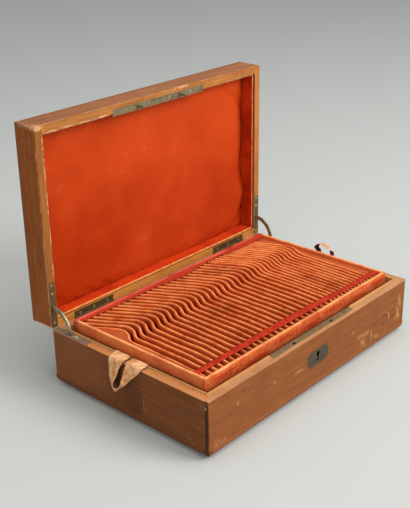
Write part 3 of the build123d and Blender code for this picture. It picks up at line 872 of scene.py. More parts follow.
def tube_faces(rows: int, columns: int) -> list[tuple[int, ...]]:
    """Faces of a closed skin: rows of points round it, with both ends capped.

    Args:
        rows: how many rows along it.
        columns: how many points round it.

    Returns:
        The faces.
    """
    faces: list[tuple[int, ...]] = []
    for r in range(rows - 1):
        for c in range(columns):
            a, b = r * columns + c, r * columns + (c + 1) % columns
            faces.append((a, b, b + columns, a + columns))
    faces.append(tuple(range(columns))[::-1])
    faces.append(tuple((rows - 1) * columns + c for c in range(columns)))
    return faces


def sheet_faces(rows: int, columns: int) -> list[tuple[int, ...]]:
    """Faces of a thin closed sheet: its first side, then its second side, then the rim between them.

    Args:
        rows: how many rows of points a side has.
        columns: how many points a row has.

    Returns:
        The faces. The second side's points are numbered after the first side's.
    """
    pairs = [(r * columns + c, r * columns + c + 1) for r in range(rows - 1) for c in range(columns - 1)]
    first = [(a, b, b + columns, a + columns) for a, b in pairs]
    n = rows * columns
    second = [tuple(v + n for v in face[::-1]) for face in first]
    rim = [*range(columns), *((r + 1) * columns - 1 for r in range(1, rows)),
           *((rows - 1) * columns + c for c in range(columns - 2, -1, -1)),
           *(r * columns for r in range(rows - 2, 0, -1))]
    return first + second + [(i, i + n, j + n, j) for i, j in zip(rim, rim[1:] + rim[:1])]


# What eases the edges of the model's own pieces: metres and degrees
WELD_REACH = 0.00002
EASED_ANGLE = 50.0


def dress(nodes: Iterable[str], material: bpy.types.Material, soften: float = 0.0) -> None:
    """Gives the model's own pieces their finish, and eased edges.

    Args:
        nodes: names of the nodes.
        material: their finish.
        soften: radius of the eased edges in metres, or 0.
    """
    for name in nodes:
        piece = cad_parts[name]
        if piece.data.materials:
            piece.data.materials[0] = material
        else:
            piece.data.materials.append(material)
        if soften:
            weld = piece.modifiers.new("weld", "WELD")
            weld.merge_threshold = WELD_REACH
            bevel = piece.modifiers.new("eased", "BEVEL")
            bevel.width = soften
            bevel.segments = 2
            bevel.limit_method = "ANGLE"
            bevel.angle_limit = math.radians(EASED_ANGLE)
            bevel.use_clamp_overlap = True
            shade = piece.modifiers.new("shade", "WEIGHTED_NORMAL")
            shade.keep_sharp = False


@dataclass
class Strap:
    """A ribbon that follows two edge lines.

    Attributes:
        name: the piece's name.
        edges: for each station, the two edge points in millimetres.
        thickness: of the cloth, in millimetres.
        between: extra stations between two given ones.
        across: points across it.
        fray: how uneven its edges are, in millimetres.
        ripple: how uneven its face is, in millimetres.
        fold: depth of a slack fold that runs along it, in millimetres.
    """

    name: str
    edges: Sequence[tuple[Point, Point]]
    thickness: float = 0.6
    between: int = 5
    across: int = 9
    fray: float = 0.0
    ripple: float = 0.0
    fold: float = 0.0

    def lines(self) -> tuple[np.ndarray, np.ndarray]:
        """The two edge lines, smooth through every station.

        Returns:
            Points of the first and of the second edge.
        """
        keys = np.array(self.edges, float).reshape(len(self.edges), 6)
        padded = np.vstack([2 * keys[0] - keys[1], keys, 2 * keys[-1] - keys[-2]])
        rows = []
        for k in range(1, len(padded) - 2):
            p0, p1, p2, p3 = padded[k - 1:k + 3]
            for t in np.linspace(0, 1, self.between, endpoint=False):
                rows.append(0.5 * (2 * p1 + (p2 - p0) * t + (2 * p0 - 5 * p1 + 4 * p2 - p3) * t * t
                                   + (3 * p1 - p0 - 3 * p2 + p3) * t ** 3))
        rows.append(padded[-2])
        rows = np.array(rows)
        return rows[:, :3], rows[:, 3:]

    def skin(self) -> tuple[np.ndarray, list[tuple[int, ...]], int]:
        """Points and faces of the closed thin ribbon.

        Returns:
            The points in millimetres, the faces and how many of the faces are the first side.
        """
        a, b = self.lines()
        rows = len(a)
        share = np.linspace(0, 1, self.across)
        grid = a[:, None, :] * (1 - share)[None, :, None] + b[:, None, :] * share[None, :, None]
        along = np.gradient(grid, axis=0)
        over = np.gradient(grid, axis=1)
        up = np.cross(along, over)
        up /= np.maximum(np.linalg.norm(up, axis=2, keepdims=True), 1e-9)
        side = (b - a) / np.maximum(np.linalg.norm(b - a, axis=1, keepdims=True), 1e-9)
        for r in range(rows):
            for c in range(self.across):
                x, y, z = grid[r, c] * 0.09
                edge = abs(2 * share[c] - 1) ** 3
                slack = self.fold * math.sin(2 * math.pi * share[c]) * (1 + 0.5 * smooth_noise(x, y, 7.0))
                grid[r, c] += up[r, c] * (self.ripple * smooth_noise(x, y, z + 3) - slack)
                grid[r, c] += side[r] * self.fray * edge * smooth_noise(x * 6, y * 6, z * 6)
        half = up * self.thickness / 2
        points = np.vstack([(grid + half).reshape(-1, 3), (grid - half).reshape(-1, 3)])
        return points, sheet_faces(rows, self.across), (rows - 1) * (self.across - 1)

    def make(self, body: str, slot: str, material: bpy.types.Material, stands_for: Iterable[str],
             inside: bpy.types.Material | None = None) -> bpy.types.Object:
        """Makes the ribbon.

        Args:
            body: the body that it rides on.
            slot: not used.
            material: its finish.
            stands_for: the nodes that it replaces.
            inside: another finish for its second side.

        Returns:
            The piece.
        """
        points, faces, first = self.skin()
        a, b = self.lines()
        length = np.linalg.norm(np.diff((a + b) / 2, axis=0), axis=1).sum()
        width = np.linalg.norm(b - a, axis=1).mean()
        log.info("%s: %.0f mm long, %.1f mm wide on average", self.name, length, width)
        piece = mesh_piece(self.name, points * MM, faces, body, material, stands_for)
        if inside:
            piece.data.materials.append(inside)
            for polygon in piece.data.polygons[first:2 * first]:
                polygon.material_index = 1
        return piece


def smooth_line(stations: Sequence[float], values: Sequence[float], at: np.ndarray) -> np.ndarray:
    """A smooth curve through a few values.

    Args:
        stations: where the values are given, rising.
        values: the values.
        at: where the curve is wanted.

    Returns:
        The curve's values there.
    """
    x, y = np.array(stations, float), np.array(values, float)
    slope = np.gradient(y, x)
    k = np.clip(np.searchsorted(x, at) - 1, 0, len(x) - 2)
    width = x[k + 1] - x[k]
    t = (at - x[k]) / width
    return ((1 + 2 * t) * (1 - t) ** 2 * y[k] + t * (1 - t) ** 2 * width * slope[k]
            + t * t * (3 - 2 * t) * y[k + 1] + t * t * (t - 1) * width * slope[k + 1])


@dataclass
class Rack:
    """The suede-covered ribs that sway across the tray, no two quite alike.

    Attributes:
        low: the rack's lowest corner between the walls, in millimetres.
        high: its highest corner.
        thickness: of a rib.
        step: spacing of the points along a rib.
        first: where the first rib's straight run lies.
        table_ribs: how many ribs the table rack has.
        table_pitch: their spacing.
        dessert_ribs: how many ribs the dessert rack has.
        dessert_pitch: their spacing.
        bow_radius: of the slight bow behind the front wall.
        bow_length: how long it is.
        straight: length of the straight run behind it.
        sway_radius: of the bend out to the right.
        sway_turn: how far it turns, in degrees.
        sway_straight: length of the straight run after it.
        crest_radius: of the bend back to the left.
        rear_turn: how far it goes past straight, in degrees.
        rest: length of the last run, which the rear wall cuts off.
        fading: how much weaker the sway is at the right end than at the left, as a share.
    """

    low: Point
    high: Point
    thickness: float = 3.9
    step: float = 1.8
    first: float = -170.0
    table_ribs: int = 25
    table_pitch: float = 9.9
    dessert_ribs: int = 12
    dessert_pitch: float = 7.35
    bow_radius: float = 670.0
    bow_length: float = 63.0
    straight: float = 52.0
    sway_radius: float = 22.0
    sway_turn: float = 35.0
    sway_straight: float = 9.0
    crest_radius: float = 20.0
    rear_turn: float = 31.0
    rest: float = 70.0
    fading: float = 0.16

    def place(self, number: int) -> float:
        """Where a rib's straight run lies, by its number from the left."""
        table = min(number, self.table_ribs - 1)
        return self.first + table * self.table_pitch + (number - table) * self.dessert_pitch

    def course(self, number: int) -> np.ndarray:
        """A rib's course: bow, straight run, out to the right and back to the left.

        Args:
            number: its number from the left.

        Returns:
            Points (x, y) with x 0 on the straight run.
        """
        bow = self.bow_length / self.bow_radius * (1.2 + 0.9 * smooth_noise(number * 0.31, 2.2, 0.0))
        weaker = 1.0 - self.fading * number / (self.table_ribs + self.dessert_ribs - 1)
        sway, rear = (math.radians(turn) for turn in (self.sway_turn, self.rear_turn))
        out, back = sway * weaker, -rear * weaker
        bends = ((self.bow_length, bow, 0.0), (self.straight, 0.0, 0.0), (self.sway_radius * sway, 0.0, out),
                 (self.sway_straight, out, out), (self.crest_radius * (sway + rear), out, back),
                 (self.rest, back, back))
        points = [(0.0, self.low[1])]
        for length, start, end in bends:
            steps = max(4, int(length / self.step))
            stride = length / steps
            for s in range(steps):
                heading = start + (end - start) * (s + 0.5) / steps
                x, y = points[-1]
                points.append((x + math.sin(heading) * stride, y + math.cos(heading) * stride))
        course = np.array(points)
        middle = self.low[1] + self.bow_length + self.straight / 2
        course[:, 0] -= np.interp(middle, course[:, 1], course[:, 0])
        return course

    def line(self, number: int) -> np.ndarray:
        """The middle line of a rib, from the front wall to the rear wall or where it meets a side wall.

        Args:
            number: its number from the left.

        Returns:
            Points (x, y).
        """
        course = self.course(number)
        y = np.arange(self.low[1], self.high[1], self.step)
        x = self.place(number) + np.interp(y, course[:, 1], course[:, 0])
        wobble = [0.9 * smooth_noise(v * 0.025, number * 0.45, 7.0)
                  + 0.4 * smooth_noise(v * 0.09, number * 0.9, 11.0) for v in y]
        x = np.minimum(x + np.array(wobble), self.high[0] - 1.0)
        keep = x > self.low[0] - 1.0
        last = len(y) if keep.all() else int(np.argmin(keep))
        return np.stack([x[:last], y[:last]], axis=1)

    def rib(self, number: int) -> tuple[np.ndarray, list[tuple[int, ...]]]:
        """One rib with its own small unevenness.

        Args:
            number: its number from the left.

        Returns:
            Its points in millimetres and its faces.
        """
        line = self.line(number)
        along = np.gradient(line, axis=0)
        along /= np.linalg.norm(along, axis=1, keepdims=True)
        across = np.stack([along[:, 1], -along[:, 0]], axis=1)
        turns = np.linspace(0, math.pi, 7)
        profile = [(-1.0, None)] + [(-math.cos(a), math.sin(a)) for a in turns] + [(1.0, None)]
        points = []
        floor, top = self.low[2], self.high[2]
        for k, (px, py) in enumerate(line):
            half = self.thickness / 2 * (1 + 0.12 * smooth_noise(py * 0.07, number * 1.3, 3.0))
            crest = top + 0.4 * smooth_noise(py * 0.05, number * 0.8, 5.0)
            lean = 0.5 * smooth_noise(py * 0.03, number * 0.6, 9.0)
            for u, v in profile:
                z = floor if v is None else crest - half + half * v
                push = u * half * (0.8 if v is None else 1.0) + lean * (z - floor) / (top - floor)
                points.append((px + across[k, 0] * push, py + across[k, 1] * push, z))
        return np.array(points), tube_faces(len(line), len(profile))

    def make(self, name: str, numbers: Sequence[int], node: str,
             material: bpy.types.Material) -> bpy.types.Object:
        """Makes a group of ribs as one piece.

        Args:
            name: the piece's name.
            numbers: the ribs' numbers from the left.
            node: the node that they stand for.
            material: their finish.

        Returns:
            The piece.
        """
        points, faces = [], []
        total = 0
        for number in numbers:
            rib_points, rib_faces = self.rib(number)
            faces += [tuple(v + total for v in face) for face in rib_faces]
            points.append(rib_points)
            total += len(rib_points)
        return mesh_piece(name, np.vstack(points) * MM, faces, "tray", material, [node])


@dataclass
class CoveredWall:
    """A tray wall under its suede, soft along the top.

    Attributes:
        node: the node that it stands for.
        along: the way that it runs.
        round: radius of its top edges in millimetres.
        swell: how much the cloth stands off the wood, in millimetres.
    """

    node: str
    along: Axis
    round: float = 1.7
    swell: float = 0.15

    def make(self, material: bpy.types.Material) -> bpy.types.Object:
        """Makes the wall.

        Args:
            material: its finish.

        Returns:
            The piece.
        """
        low, high = (np.array(v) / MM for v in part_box(self.node))
        run, side = (0, 1) if self.along is Axis.X else (1, 0)
        half = (high[side] - low[side]) / 2 + self.swell
        middle = (high[side] + low[side]) / 2
        r = min(self.round, half * 0.95)
        turns = np.linspace(0, math.pi / 2, 5)
        left = [(-half + r - r * math.cos(a), high[2] - r + r * math.sin(a)) for a in turns]
        profile = [(-half, low[2])] + left + [(-u, z) for u, z in reversed(left)] + [(half, low[2])]
        steps = max(2, int((high[run] - low[run]) / 4))
        points = []
        for s in np.linspace(low[run], high[run], steps + 1):
            for u, z in profile:
                point = [0.0, 0.0, z]
                point[run] = s
                wave = 0.35 * smooth_noise(s * 0.04, u * 0.1, z * 0.02 + middle)
                lift = 0.3 * smooth_noise(s * 0.06, 4.0, middle) if z > high[2] - 2 else 0.0
                point[side] = middle + u + wave * min(1.0, (z - low[2]) / 10)
                point[2] += lift
                points.append(point)
        faces = tube_faces(steps + 1, len(profile))
        return mesh_piece(self.node + "_suede", np.array(points) * MM, faces, "tray", material,
                          [self.node])


@dataclass
class Tray:
    """The lift-out tray: covered walls, ribs, packing, ribbons and pull tabs.

    Attributes:
        effects: the shared node groups.
        rack: the ribs.
    """

    effects: Effects
    rack: Rack = field(default_factory=lambda: Rack((-177.3, -104.2, 57.0), (168.3, 99.2, 85.4)))

    def finishes(self) -> None:
        """Makes the tray's finishes."""
        self.suede = Suede("tray_suede", paint(130, 38, 13), paint(196, 82, 35), paint(232, 136, 76),
                           0.067, 0.0855).make(self.effects)
        low, high = 0.055, 0.0885
        self.wall_suede = Suede("wall_suede", paint(168, 58, 22), paint(210, 104, 52), paint(238, 160, 104),
                                low, high).make(self.effects)
        red = paint(166, 38, 16)
        places = ((-150, 80), (-96, 76), (-44, 81), (6, 77), (58, 81), (108, 77), (156, 80))
        streaks = tuple(Mark((x, -107.5, z), (26, 5, 4), red, 0.7, 1.8) for x, z in places)
        self.back_suede = Suede("back_wall_suede", paint(158, 46, 26), paint(186, 72, 46),
                                paint(204, 96, 72), low, high).make(self.effects)
        self.front_suede = Suede("front_wall_suede", paint(164, 50, 18), paint(200, 90, 40),
                                 paint(236, 158, 100), low, high, marks=streaks).make(self.effects)
        self.packing_suede = Suede("packing_suede", paint(122, 40, 16), paint(170, 72, 34),
                                   paint(182, 88, 46), 0.067, 0.0845).make(self.effects)
        self.red = RibbonCloth("red_ribbon", paint(160, 36, 16), paint(188, 52, 26)).make(self.effects)
        self.dark_red = RibbonCloth("dark_red_ribbon", paint(158, 42, 20), paint(184, 58, 30),
                                    calm=0.6).make(self.effects)
        self.peach = RibbonCloth("peach_ribbon", paint(206, 140, 88), paint(240, 186, 138)).make(self.effects)
        # The tabs' inner side: partly the ribbon's unfaded colour, partly painted shade inside the loops.
        self.shaded_maroon = RibbonCloth("unfaded_ribbon_painted_shade", paint(56, 20, 16), paint(92, 34, 24)).make(self.effects)

    def walls(self) -> None:
        """Makes the four covered walls, the packing and the floor."""
        rows = (("tray_front_wall", Axis.X, self.front_suede), ("tray_back_wall", Axis.X, self.back_suede),
                ("tray_left_wall", Axis.Y, self.wall_suede), ("tray_right_wall", Axis.Y, self.wall_suede))
        for node, axis, suede in rows:
            CoveredWall(node, axis).make(suede)
        dress(("tray_packing_left", "tray_packing_right"), self.packing_suede, 0.0008)
        dress(("tray_bottom",), self.suede)

    def ribs(self) -> None:
        """Makes the ribs of both racks."""
        table, every = self.rack.table_ribs, self.rack.table_ribs + self.rack.dessert_ribs
        self.rack.make("table_ribs_suede", range(table), "tray_ribs_table", self.suede)
        self.rack.make("dessert_ribs_suede", range(table, every), "tray_ribs_dessert", self.suede)

    def ribbons(self) -> None:
        """Makes the two red ribbons over the ribs."""
        tops = self.rack.high[2] + 0.8
        along = np.linspace(-177.2, 168.2, 70)
        stations = (-180, -150, -100, 0, 50, 100, 150, 170)
        middle = smooth_line(stations, (-88, -88.4, -88.4, -89.6, -90.7, -93.6, -94.2, -94.6), along)
        half = smooth_line(stations, (3.9, 3.9, 4.5, 5.0, 4.9, 3.6, 4, 4), along)
        front = [((x, m - h, tops), (x, m + h, tops + 0.1 + 0.2 * smooth_noise(x * 0.11, 2.0, 0.0)))
                 for x, m, h in zip(along, middle, half)]
        strap = Strap("front_ribbon", front, thickness=0.5, between=2, across=7, fray=0.15, ripple=0.2)
        strap = strap.make("tray", "red_ribbon", self.red, ["tray_front_ribbon"])
        edge = smooth_line((-180, -153, -100, -53, -3, 17, 47, 62, 77, 97, 122, 147, 170),
                           (92.1, 92.1, 91.7, 92.1, 87.4, 89.2, 93.4, 96, 94.7, 90.3, 89.2, 89.2, 90), along)
        by_wall, in_front = 102.6, 1.6
        rear = []
        for x, e in zip(along, edge):
            wave = abs(smooth_noise(x * 0.05, 8.0, 0.0))
            rear.append(((x, e + in_front, tops + 0.1 + 0.3 * wave), (x, by_wall, tops + 2.0)))
        strap = Strap("rear_ribbon", rear, thickness=0.5, between=2, across=11, fray=0.1, ripple=0.15,
                      fold=0.35)
        strap = strap.make("tray", "red_ribbon", self.dark_red, ["tray_rear_ribbon"])

    def tabs(self) -> None:
        """Makes the pull tabs of peach ribbon at the tray's ends."""
        left = [((-182.6, 26, 56), (-182.6, 2, 56)), ((-182.6, 26, 70), (-182.6, 2, 70)),
                ((-183.4, 25.5, 75.4), (-183.6, 2, 75.8)), ((-186, 25, 77.2), (-186.5, 1.6, 77.2)),
                ((-191.5, 24.6, 76.9), (-191.5, 0.8, 76.9)), ((-196.8, 24.2, 76.6), (-197, 1, 76.9)),
                ((-199.2, 24, 72), (-199.8, 2, 74.6)), ((-199.3, 24.4, 61), (-202.5, 4.8, 67.4)),
                ((-199.5, 24, 51), (-205, 6.2, 59.6)), ((-200, 22, 43.5), (-207.5, 6.7, 55.8)),
                ((-201.5, 17.8, 37), (-209.5, 8.6, 49.3)), ((-203, 11.3, 35.9), (-209.5, 6.5, 45.3)),
                ((-203, 4.4, 42), (-209.5, 0.9, 47)), ((-201, -5.8, 51.7), (-208, -1, 49.7)),
                ((-199.6, -10.7, 57.5), (-205.5, -1.7, 55.4)), ((-199.6, -20, 66.4), (-203.5, -2.2, 61.2)),
                ((-199.2, -26.8, 74.3), (-201, -3, 69.7)), ((-196.8, -27, 76.8), (-197, -3.2, 76.9)),
                ((-191.5, -26.8, 76.7), (-191.5, -3, 76.9)), ((-186, -26, 77), (-186, -3, 77.2)),
                ((-183.4, -25.6, 75.4), (-183.4, -3, 75.4)), ((-182.6, -26, 70), (-182.6, -2, 70)),
                ((-182.6, -26, 56), (-182.6, -2, 56))]
        tab = Strap("left_pull_tab", left, thickness=0.5, between=5, across=11, fray=0.8, ripple=0.7)
        tab = tab.make("tray", "pale_ribbon", self.peach, ["pull_tab_left"], self.shaded_maroon)
        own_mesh(tab)
        right = [((173.6, 3, 60), (181.8, 1.5, 60)), ((173.6, 3, 76), (181.8, 1.5, 76)),
                 ((173.6, 3.5, 87.5), (182, 1.5, 86)), ((173.8, 7.5, 91.2), (182.2, 5, 89.5)),
                 ((174, 4.4, 95.6), (182.4, 4, 93.6)), ((174.2, -1, 98.4), (182.6, 0.4, 96.4)),
                 ((174.4, -7, 97.2), (182.6, -5, 96.2)), ((174.6, -13, 95.2), (182.4, -10, 94.6)),
                 ((176, -18.5, 93), (181, -14, 92)), ((179, -21, 90.6), (177.5, -16, 90)),
                 ((181.5, -20.5, 87), (174, -19.5, 87)), ((181.8, -20, 76), (173.8, -19.6, 76)),
                 ((181.8, -20, 60), (173.8, -19.6, 60))]
        tab = Strap("right_pull_tab", right, thickness=0.5, between=6, across=9, fray=0.4, ripple=0.4)
        tab = tab.make("tray", "pale_ribbon", self.peach, ["pull_tab_right"], self.shaded_maroon)
        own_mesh(tab)

    def build(self) -> None:
        """Builds and dresses the whole tray."""
        self.finishes()
        self.walls()
        self.ribs()
        self.ribbons()
        self.tabs()
        log.info("tray: walls, 37 ribs, packing, two ribbons, two pull tabs")


@dataclass
class Case:
    """The stained boards of base and lid and the thin liners inside them.

    Attributes:
        effects: the shared node groups.
        rim: height of the base's rim, in metres.
        lid_rim: where the lid's rim lies along Y while it stands open, in metres.
        lid_box: the open lid's corners, in metres.
        front: where the front face lies along Y, in millimetres.
        left: where the left end lies along X, in millimetres.
    """

    effects: Effects
    rim: float = 0.074
    lid_rim: float = 0.12515
    lid_box: tuple[Point, Point] = ((-0.197, 0.12515, 0.07415), (0.197, 0.16465, 0.32415))
    front: float = -125.0
    left: float = -197.0

    def front_spots(self, *rows: tuple) -> list[Mark]:
        """Spots on the front face.

        Args:
            *rows: for each its place x and z, half width, half height, colour, strength and rag.

        Returns:
            The marks.
        """
        return [Mark((x, self.front, z), (wide, 4, high), *rest) for x, z, wide, high, *rest in rows]

    def front_marks(self) -> tuple[Mark, ...]:
        """The scuffs, spots and scratches that show on the front, with painted shade round and inside the
        keyhole and on the board's left end.

        Returns:
            The marks, the lowest first.
        """
        pale, yellow = paint(200, 142, 86), paint(206, 152, 80)
        dark, keyhole_shade_black = paint(74, 40, 22), paint(12, 9, 8)
        x, y = self.left, self.front
        return (
            *self.front_spots((181, 30, 5, 11, yellow, 0.55, 1.8), (184, 46, 5, 10, pale, 0.45, 1.8)),
            Mark((150, y, 34), (9, 1.3), pale, 0.75, arc=True, side=(0.7, 0.0, 0.7)),
            Mark((148, y, 34), (7, 1.0), dark, 0.7, arc=True, side=(0.8, 0.0, 0.5)),
            *self.front_spots(
                (150, 42, 6, 3, dark, 0.45, 1.4), (146, 29, 5, 3, dark, 0.4, 1.4),
                (118, 22, 1.6, 9, pale, 0.6, 1.4), (132, 17, 7, 4, pale, 0.42, 1.8),
                (98, 20, 5, 5, pale, 0.5, 1.7), (92, 32, 7, 3, pale, 0.42, 1.8),
                (106, 30, 6, 3, pale, 0.45, 1.8), (76, 44, 5, 2, pale, 0.35, 1.6),
                (104, 12, 3, 3, pale, 0.5, 1.4),
                (-38, 40, 8, 1.4, pale, 0.55, 1.4), (-84, 47, 3, 1.8, pale, 0.5, 1.2),
                (-148, 50, 3.4, 3, pale, 0.4, 1.4), (-110, 8, 26, 5, dark, 0.5, 1.4),
                (-178, 12, 14, 9, pale, 0.25, 1.8), (-138, 62, 3, 2.4, dark, 0.5, 0.9)),
            # a faint painted shadow round the keyhole plate
            Mark((0, y - 1, 45), (40, 0.4, 20), dark, 0.25, 0.3),
            # painted shade inside the keyhole
            Mark((0, y + 5, 47.8), (8, 9, 8), keyhole_shade_black, 1.0, 0.0),
            Mark((0, y + 5, 40), (5, 9, 8), keyhole_shade_black, 1.0, 0.0),
            *self.front_spots((196.4, 40, 2.2, 70, paint(96, 70, 48), 0.7, 0.3)),
            # the left end's painted shade, carried over the front board's end
            Mark((x, y + 6, 40), (1.2, 10, 90), paint(106, 60, 26), 0.9, 0.0),
            Mark((x, y + 2.4, 34), (2.0, 3.2, 48), paint(46, 21, 12), 0.8, 0.35),
            Mark((x, y + 4, 65), (3, 2, 1.6), pale, 0.7, 1.2),
            Mark((x, y + 8, 62), (3, 1.4, 1.2), pale, 0.6, 1.2))

    def side_marks(self) -> tuple[Mark, ...]:
        """The scratches and specks on the left end, with painted light on its rear part and a painted shadow
        of the pull tab.

        Returns:
            The marks, the lowest first.
        """
        pale, dark = paint(190, 126, 76), paint(26, 12, 7)
        rows = ((-28, 30, 0.7, 11, pale, 0.6, 1.0), (-31, 24, 0.6, 7, pale, 0.5, 1.0),
                (-104, 13, 4, 1, pale, 0.5, 1.2), (-97, 17, 2, 0.8, pale, 0.4, 1.2),
                (-116, 66, 1.6, 1.4, pale, 0.5, 1.2), (-120, 64, 1, 1.2, pale, 0.5, 1.2),
                # the tone at y 84 is painted light on the rear part, the one at y -12 a painted shadow of the
                # pull tab
                (60, 20, 14, 10, dark, 0.25, 0.9), (84, 40, 56, 60, paint(136, 82, 44), 0.5, 0.6),
                (-12, 34, 18, 36, paint(70, 36, 16), 0.45, 0.7))
        return tuple(Mark((self.left, y, z), (4, wide, high), *rest) for y, z, wide, high, *rest in rows)

    def bottom_marks(self) -> tuple[Mark, ...]:
        """The left end's painted shade and the dark corner, carried down over the bottom board, and painted
        shade along the front's bottom edge by the floor.
        """
        # the first mark carries the left end's painted shade; the last is painted shade along the front's
        # bottom edge by the floor
        return (Mark((-197, 0, 7), (9, 400, 40), paint(106, 60, 26), 0.9, 0.0),
                Mark((-198, -122, 7), (4.6, 4.4, 16), paint(46, 21, 12), 0.75, 0.3),
                Mark((-40, -122, 2), (150, 6, 3), paint(60, 32, 18), 0.5, 1.2))

    def base(self) -> None:
        """Dresses the base."""
        rim = Rim(Axis.Z, self.rim, paint(164, 108, 64), paint(200, 148, 104))
        dark, light, worn = paint(118, 66, 28), paint(148, 88, 44), paint(206, 144, 92)
        front = StainedWood("front_wood", paint(124, 69, 30), paint(150, 88, 44), worn, Axis.X, rim,
                            marks=self.front_marks(), seed=0.3, foot=0.006)
        # The left end's rim tones are painted lighter and more orange, a painted reflection of the orange
        # cloth beside it.
        left_rim_reflection = Rim(Axis.Z, self.rim, paint(178, 112, 60), paint(212, 146, 92))
        # The left end is painted darker than the other boards: painted shade for the side turned from the
        # light.
        side = StainedWood("left_end_wood_painted_shade", paint(102, 56, 22), paint(126, 72, 32), worn, Axis.Y, left_rim_reflection,
                           marks=self.side_marks(), seed=1.7, foot=0.008)
        other = StainedWood("right_end_wood", dark, light, worn, Axis.Y, rim, seed=2.9, foot=0.008)
        rear = StainedWood("rear_wood", dark, light, worn, Axis.X, rim, seed=4.1, foot=0.006)
        # The bottom board is painted lighter than the front: painted light for the floor's light on its
        # rounded underside.
        bottom = StainedWood("bottom_wood_painted_light", paint(136, 78, 38), paint(156, 93, 48), worn, Axis.X,
                             marks=self.bottom_marks(), seed=5.3, foot=0.006)
        for finish, node, ease in ((front, "base_front_board", 0.0006), (side, "base_left_board", 0.0006),
                                   (other, "base_right_board", 0.0006), (rear, "base_back_board", 0.0),
                                   (bottom, "base_bottom_board", 0.0006)):
            dress((node,), finish.make(self.effects), ease)
        liner_box = ((-0.187, -0.115, 0.009), (0.187, 0.115, 0.0755))
        liner = StainedWood("liner_wood", paint(182, 124, 70), paint(212, 158, 98), paint(236, 192, 130),
                            Axis.X, case=liner_box, seed=6.2, wear=0.0004)
        dress(("base_front_liner", "base_back_liner", "base_left_liner", "base_right_liner"),
              liner.make(self.effects), 0.0003)
        dress(("tray_rests",), bottom.make(self.effects), 0.0004)
        felt = Suede("floor_felt", paint(90, 26, 12), paint(130, 44, 20), paint(150, 56, 28), 0.0, 0.05)
        dress(("base_floor_lining",), felt.make(self.effects))

    def lid_marks(self) -> tuple[Mark, ...]:
        """The chipped corner and the worn inner edges of the lid's rim, as it stands open.

        Returns:
            The marks, the lowest first.
        """
        pale, dark = paint(226, 172, 126), paint(84, 44, 18)
        y, top, left = self.lid_rim / MM, 324.15, self.left
        chips = [Mark((x, y, top - 9.5), (11, 3, 1.1), pale, 0.75, 1.3) for x in (-176, -150, -124, -98)]
        chips += [Mark((left + 9.6, y, z), (1.0, 3, 12), pale, 0.6, 1.5) for z in (306, 270, 232, 190, 150)]
        return (*chips, Mark((left + 3, y + 2, top - 2), (8, 6, 4), pale, 0.7, 1.5),
                Mark((left + 16, y + 20, top), (20, 10, 2), dark, 0.3, 1.4),
                Mark((40, y + 2, top - 1), (16, 3, 1.6), pale, 0.6, 1.4),
                Mark((-40, y + 1.5, top - 3), (44, 2.5, 0.8), dark, 0.5, 1.2))

    def lid(self) -> None:
        """Dresses the lid's boards and liners."""
        worn = paint(238, 188, 144)
        # The front board's paler, pinker tones are partly its own colour and partly a painted reflection of
        # the sky on its face, which looks up while the lid stands open.
        plain, front = (paint(124, 63, 17), paint(150, 82, 28)), (paint(132, 77, 42), paint(162, 105, 64))
        rows = (("front", "lid_front_board", Axis.X, 7.1, front, paint(156, 92, 38), paint(192, 124, 60)),
                ("rear", "lid_back_board", Axis.X, 8.3, plain, paint(172, 108, 42), paint(212, 144, 66)),
                ("left", "lid_left_board", Axis.Z, 9.4, plain, paint(132, 76, 30), paint(170, 106, 48)),
                ("right", "lid_right_board", Axis.Z, 10.6, plain, paint(162, 96, 40), paint(200, 130, 64)))
        for side, node, grain, seed, tones, *rim_tones in rows:
            rim = Rim(Axis.Y, self.lid_rim, *rim_tones)
            finish = StainedWood(f"lid_{side}_wood", *tones, worn, grain, rim, self.lid_box, self.lid_marks(),
                                 seed=seed, wear=0.0034)
            dress((node,), finish.make(self.effects), 0.0 if node == "lid_back_board" else 0.0008)
        top = StainedWood("lid_top_wood", paint(118, 62, 24), paint(144, 82, 36), worn, Axis.X, None,
                          self.lid_box, seed=11.8)
        dress(("lid_top_panel",), top.make(self.effects), 0.0006)
        # Lit and shaded copies of one lined board: the front liner's satin is painted darker for the shade
        # under the open lid's top, the rear shelf's painted lighter where the light falls on it.
        side = LinedWood("side_liner_satin", paint(232, 146, 100), paint(200, 110, 70), paint(160, 38, 2),
                         paint(196, 60, 4), Axis.Y)
        shaded_upper = LinedWood("front_liner_satin_painted_shade", paint(228, 176, 126), paint(186, 112, 62), paint(126, 20, 2),
                          paint(170, 42, 8), Axis.Y)
        lit_shelf = LinedWood("rear_liner_satin_painted_light", paint(240, 172, 100), paint(220, 138, 72), paint(184, 42, 2),
                          paint(206, 62, 8), Axis.Y)
        dress(("lid_left_liner", "lid_right_liner"), side.make(self.effects), 0.0004)
        dress(("lid_front_liner",), shaded_upper.make(self.effects), 0.0004)
        dress(("lid_back_liner",), lit_shelf.make(self.effects), 0.0004)

    def build(self) -> None:
        """Builds and dresses the case."""
        self.base()
        self.lid()
        log.info("case: boards, liners, rests and floor lining")


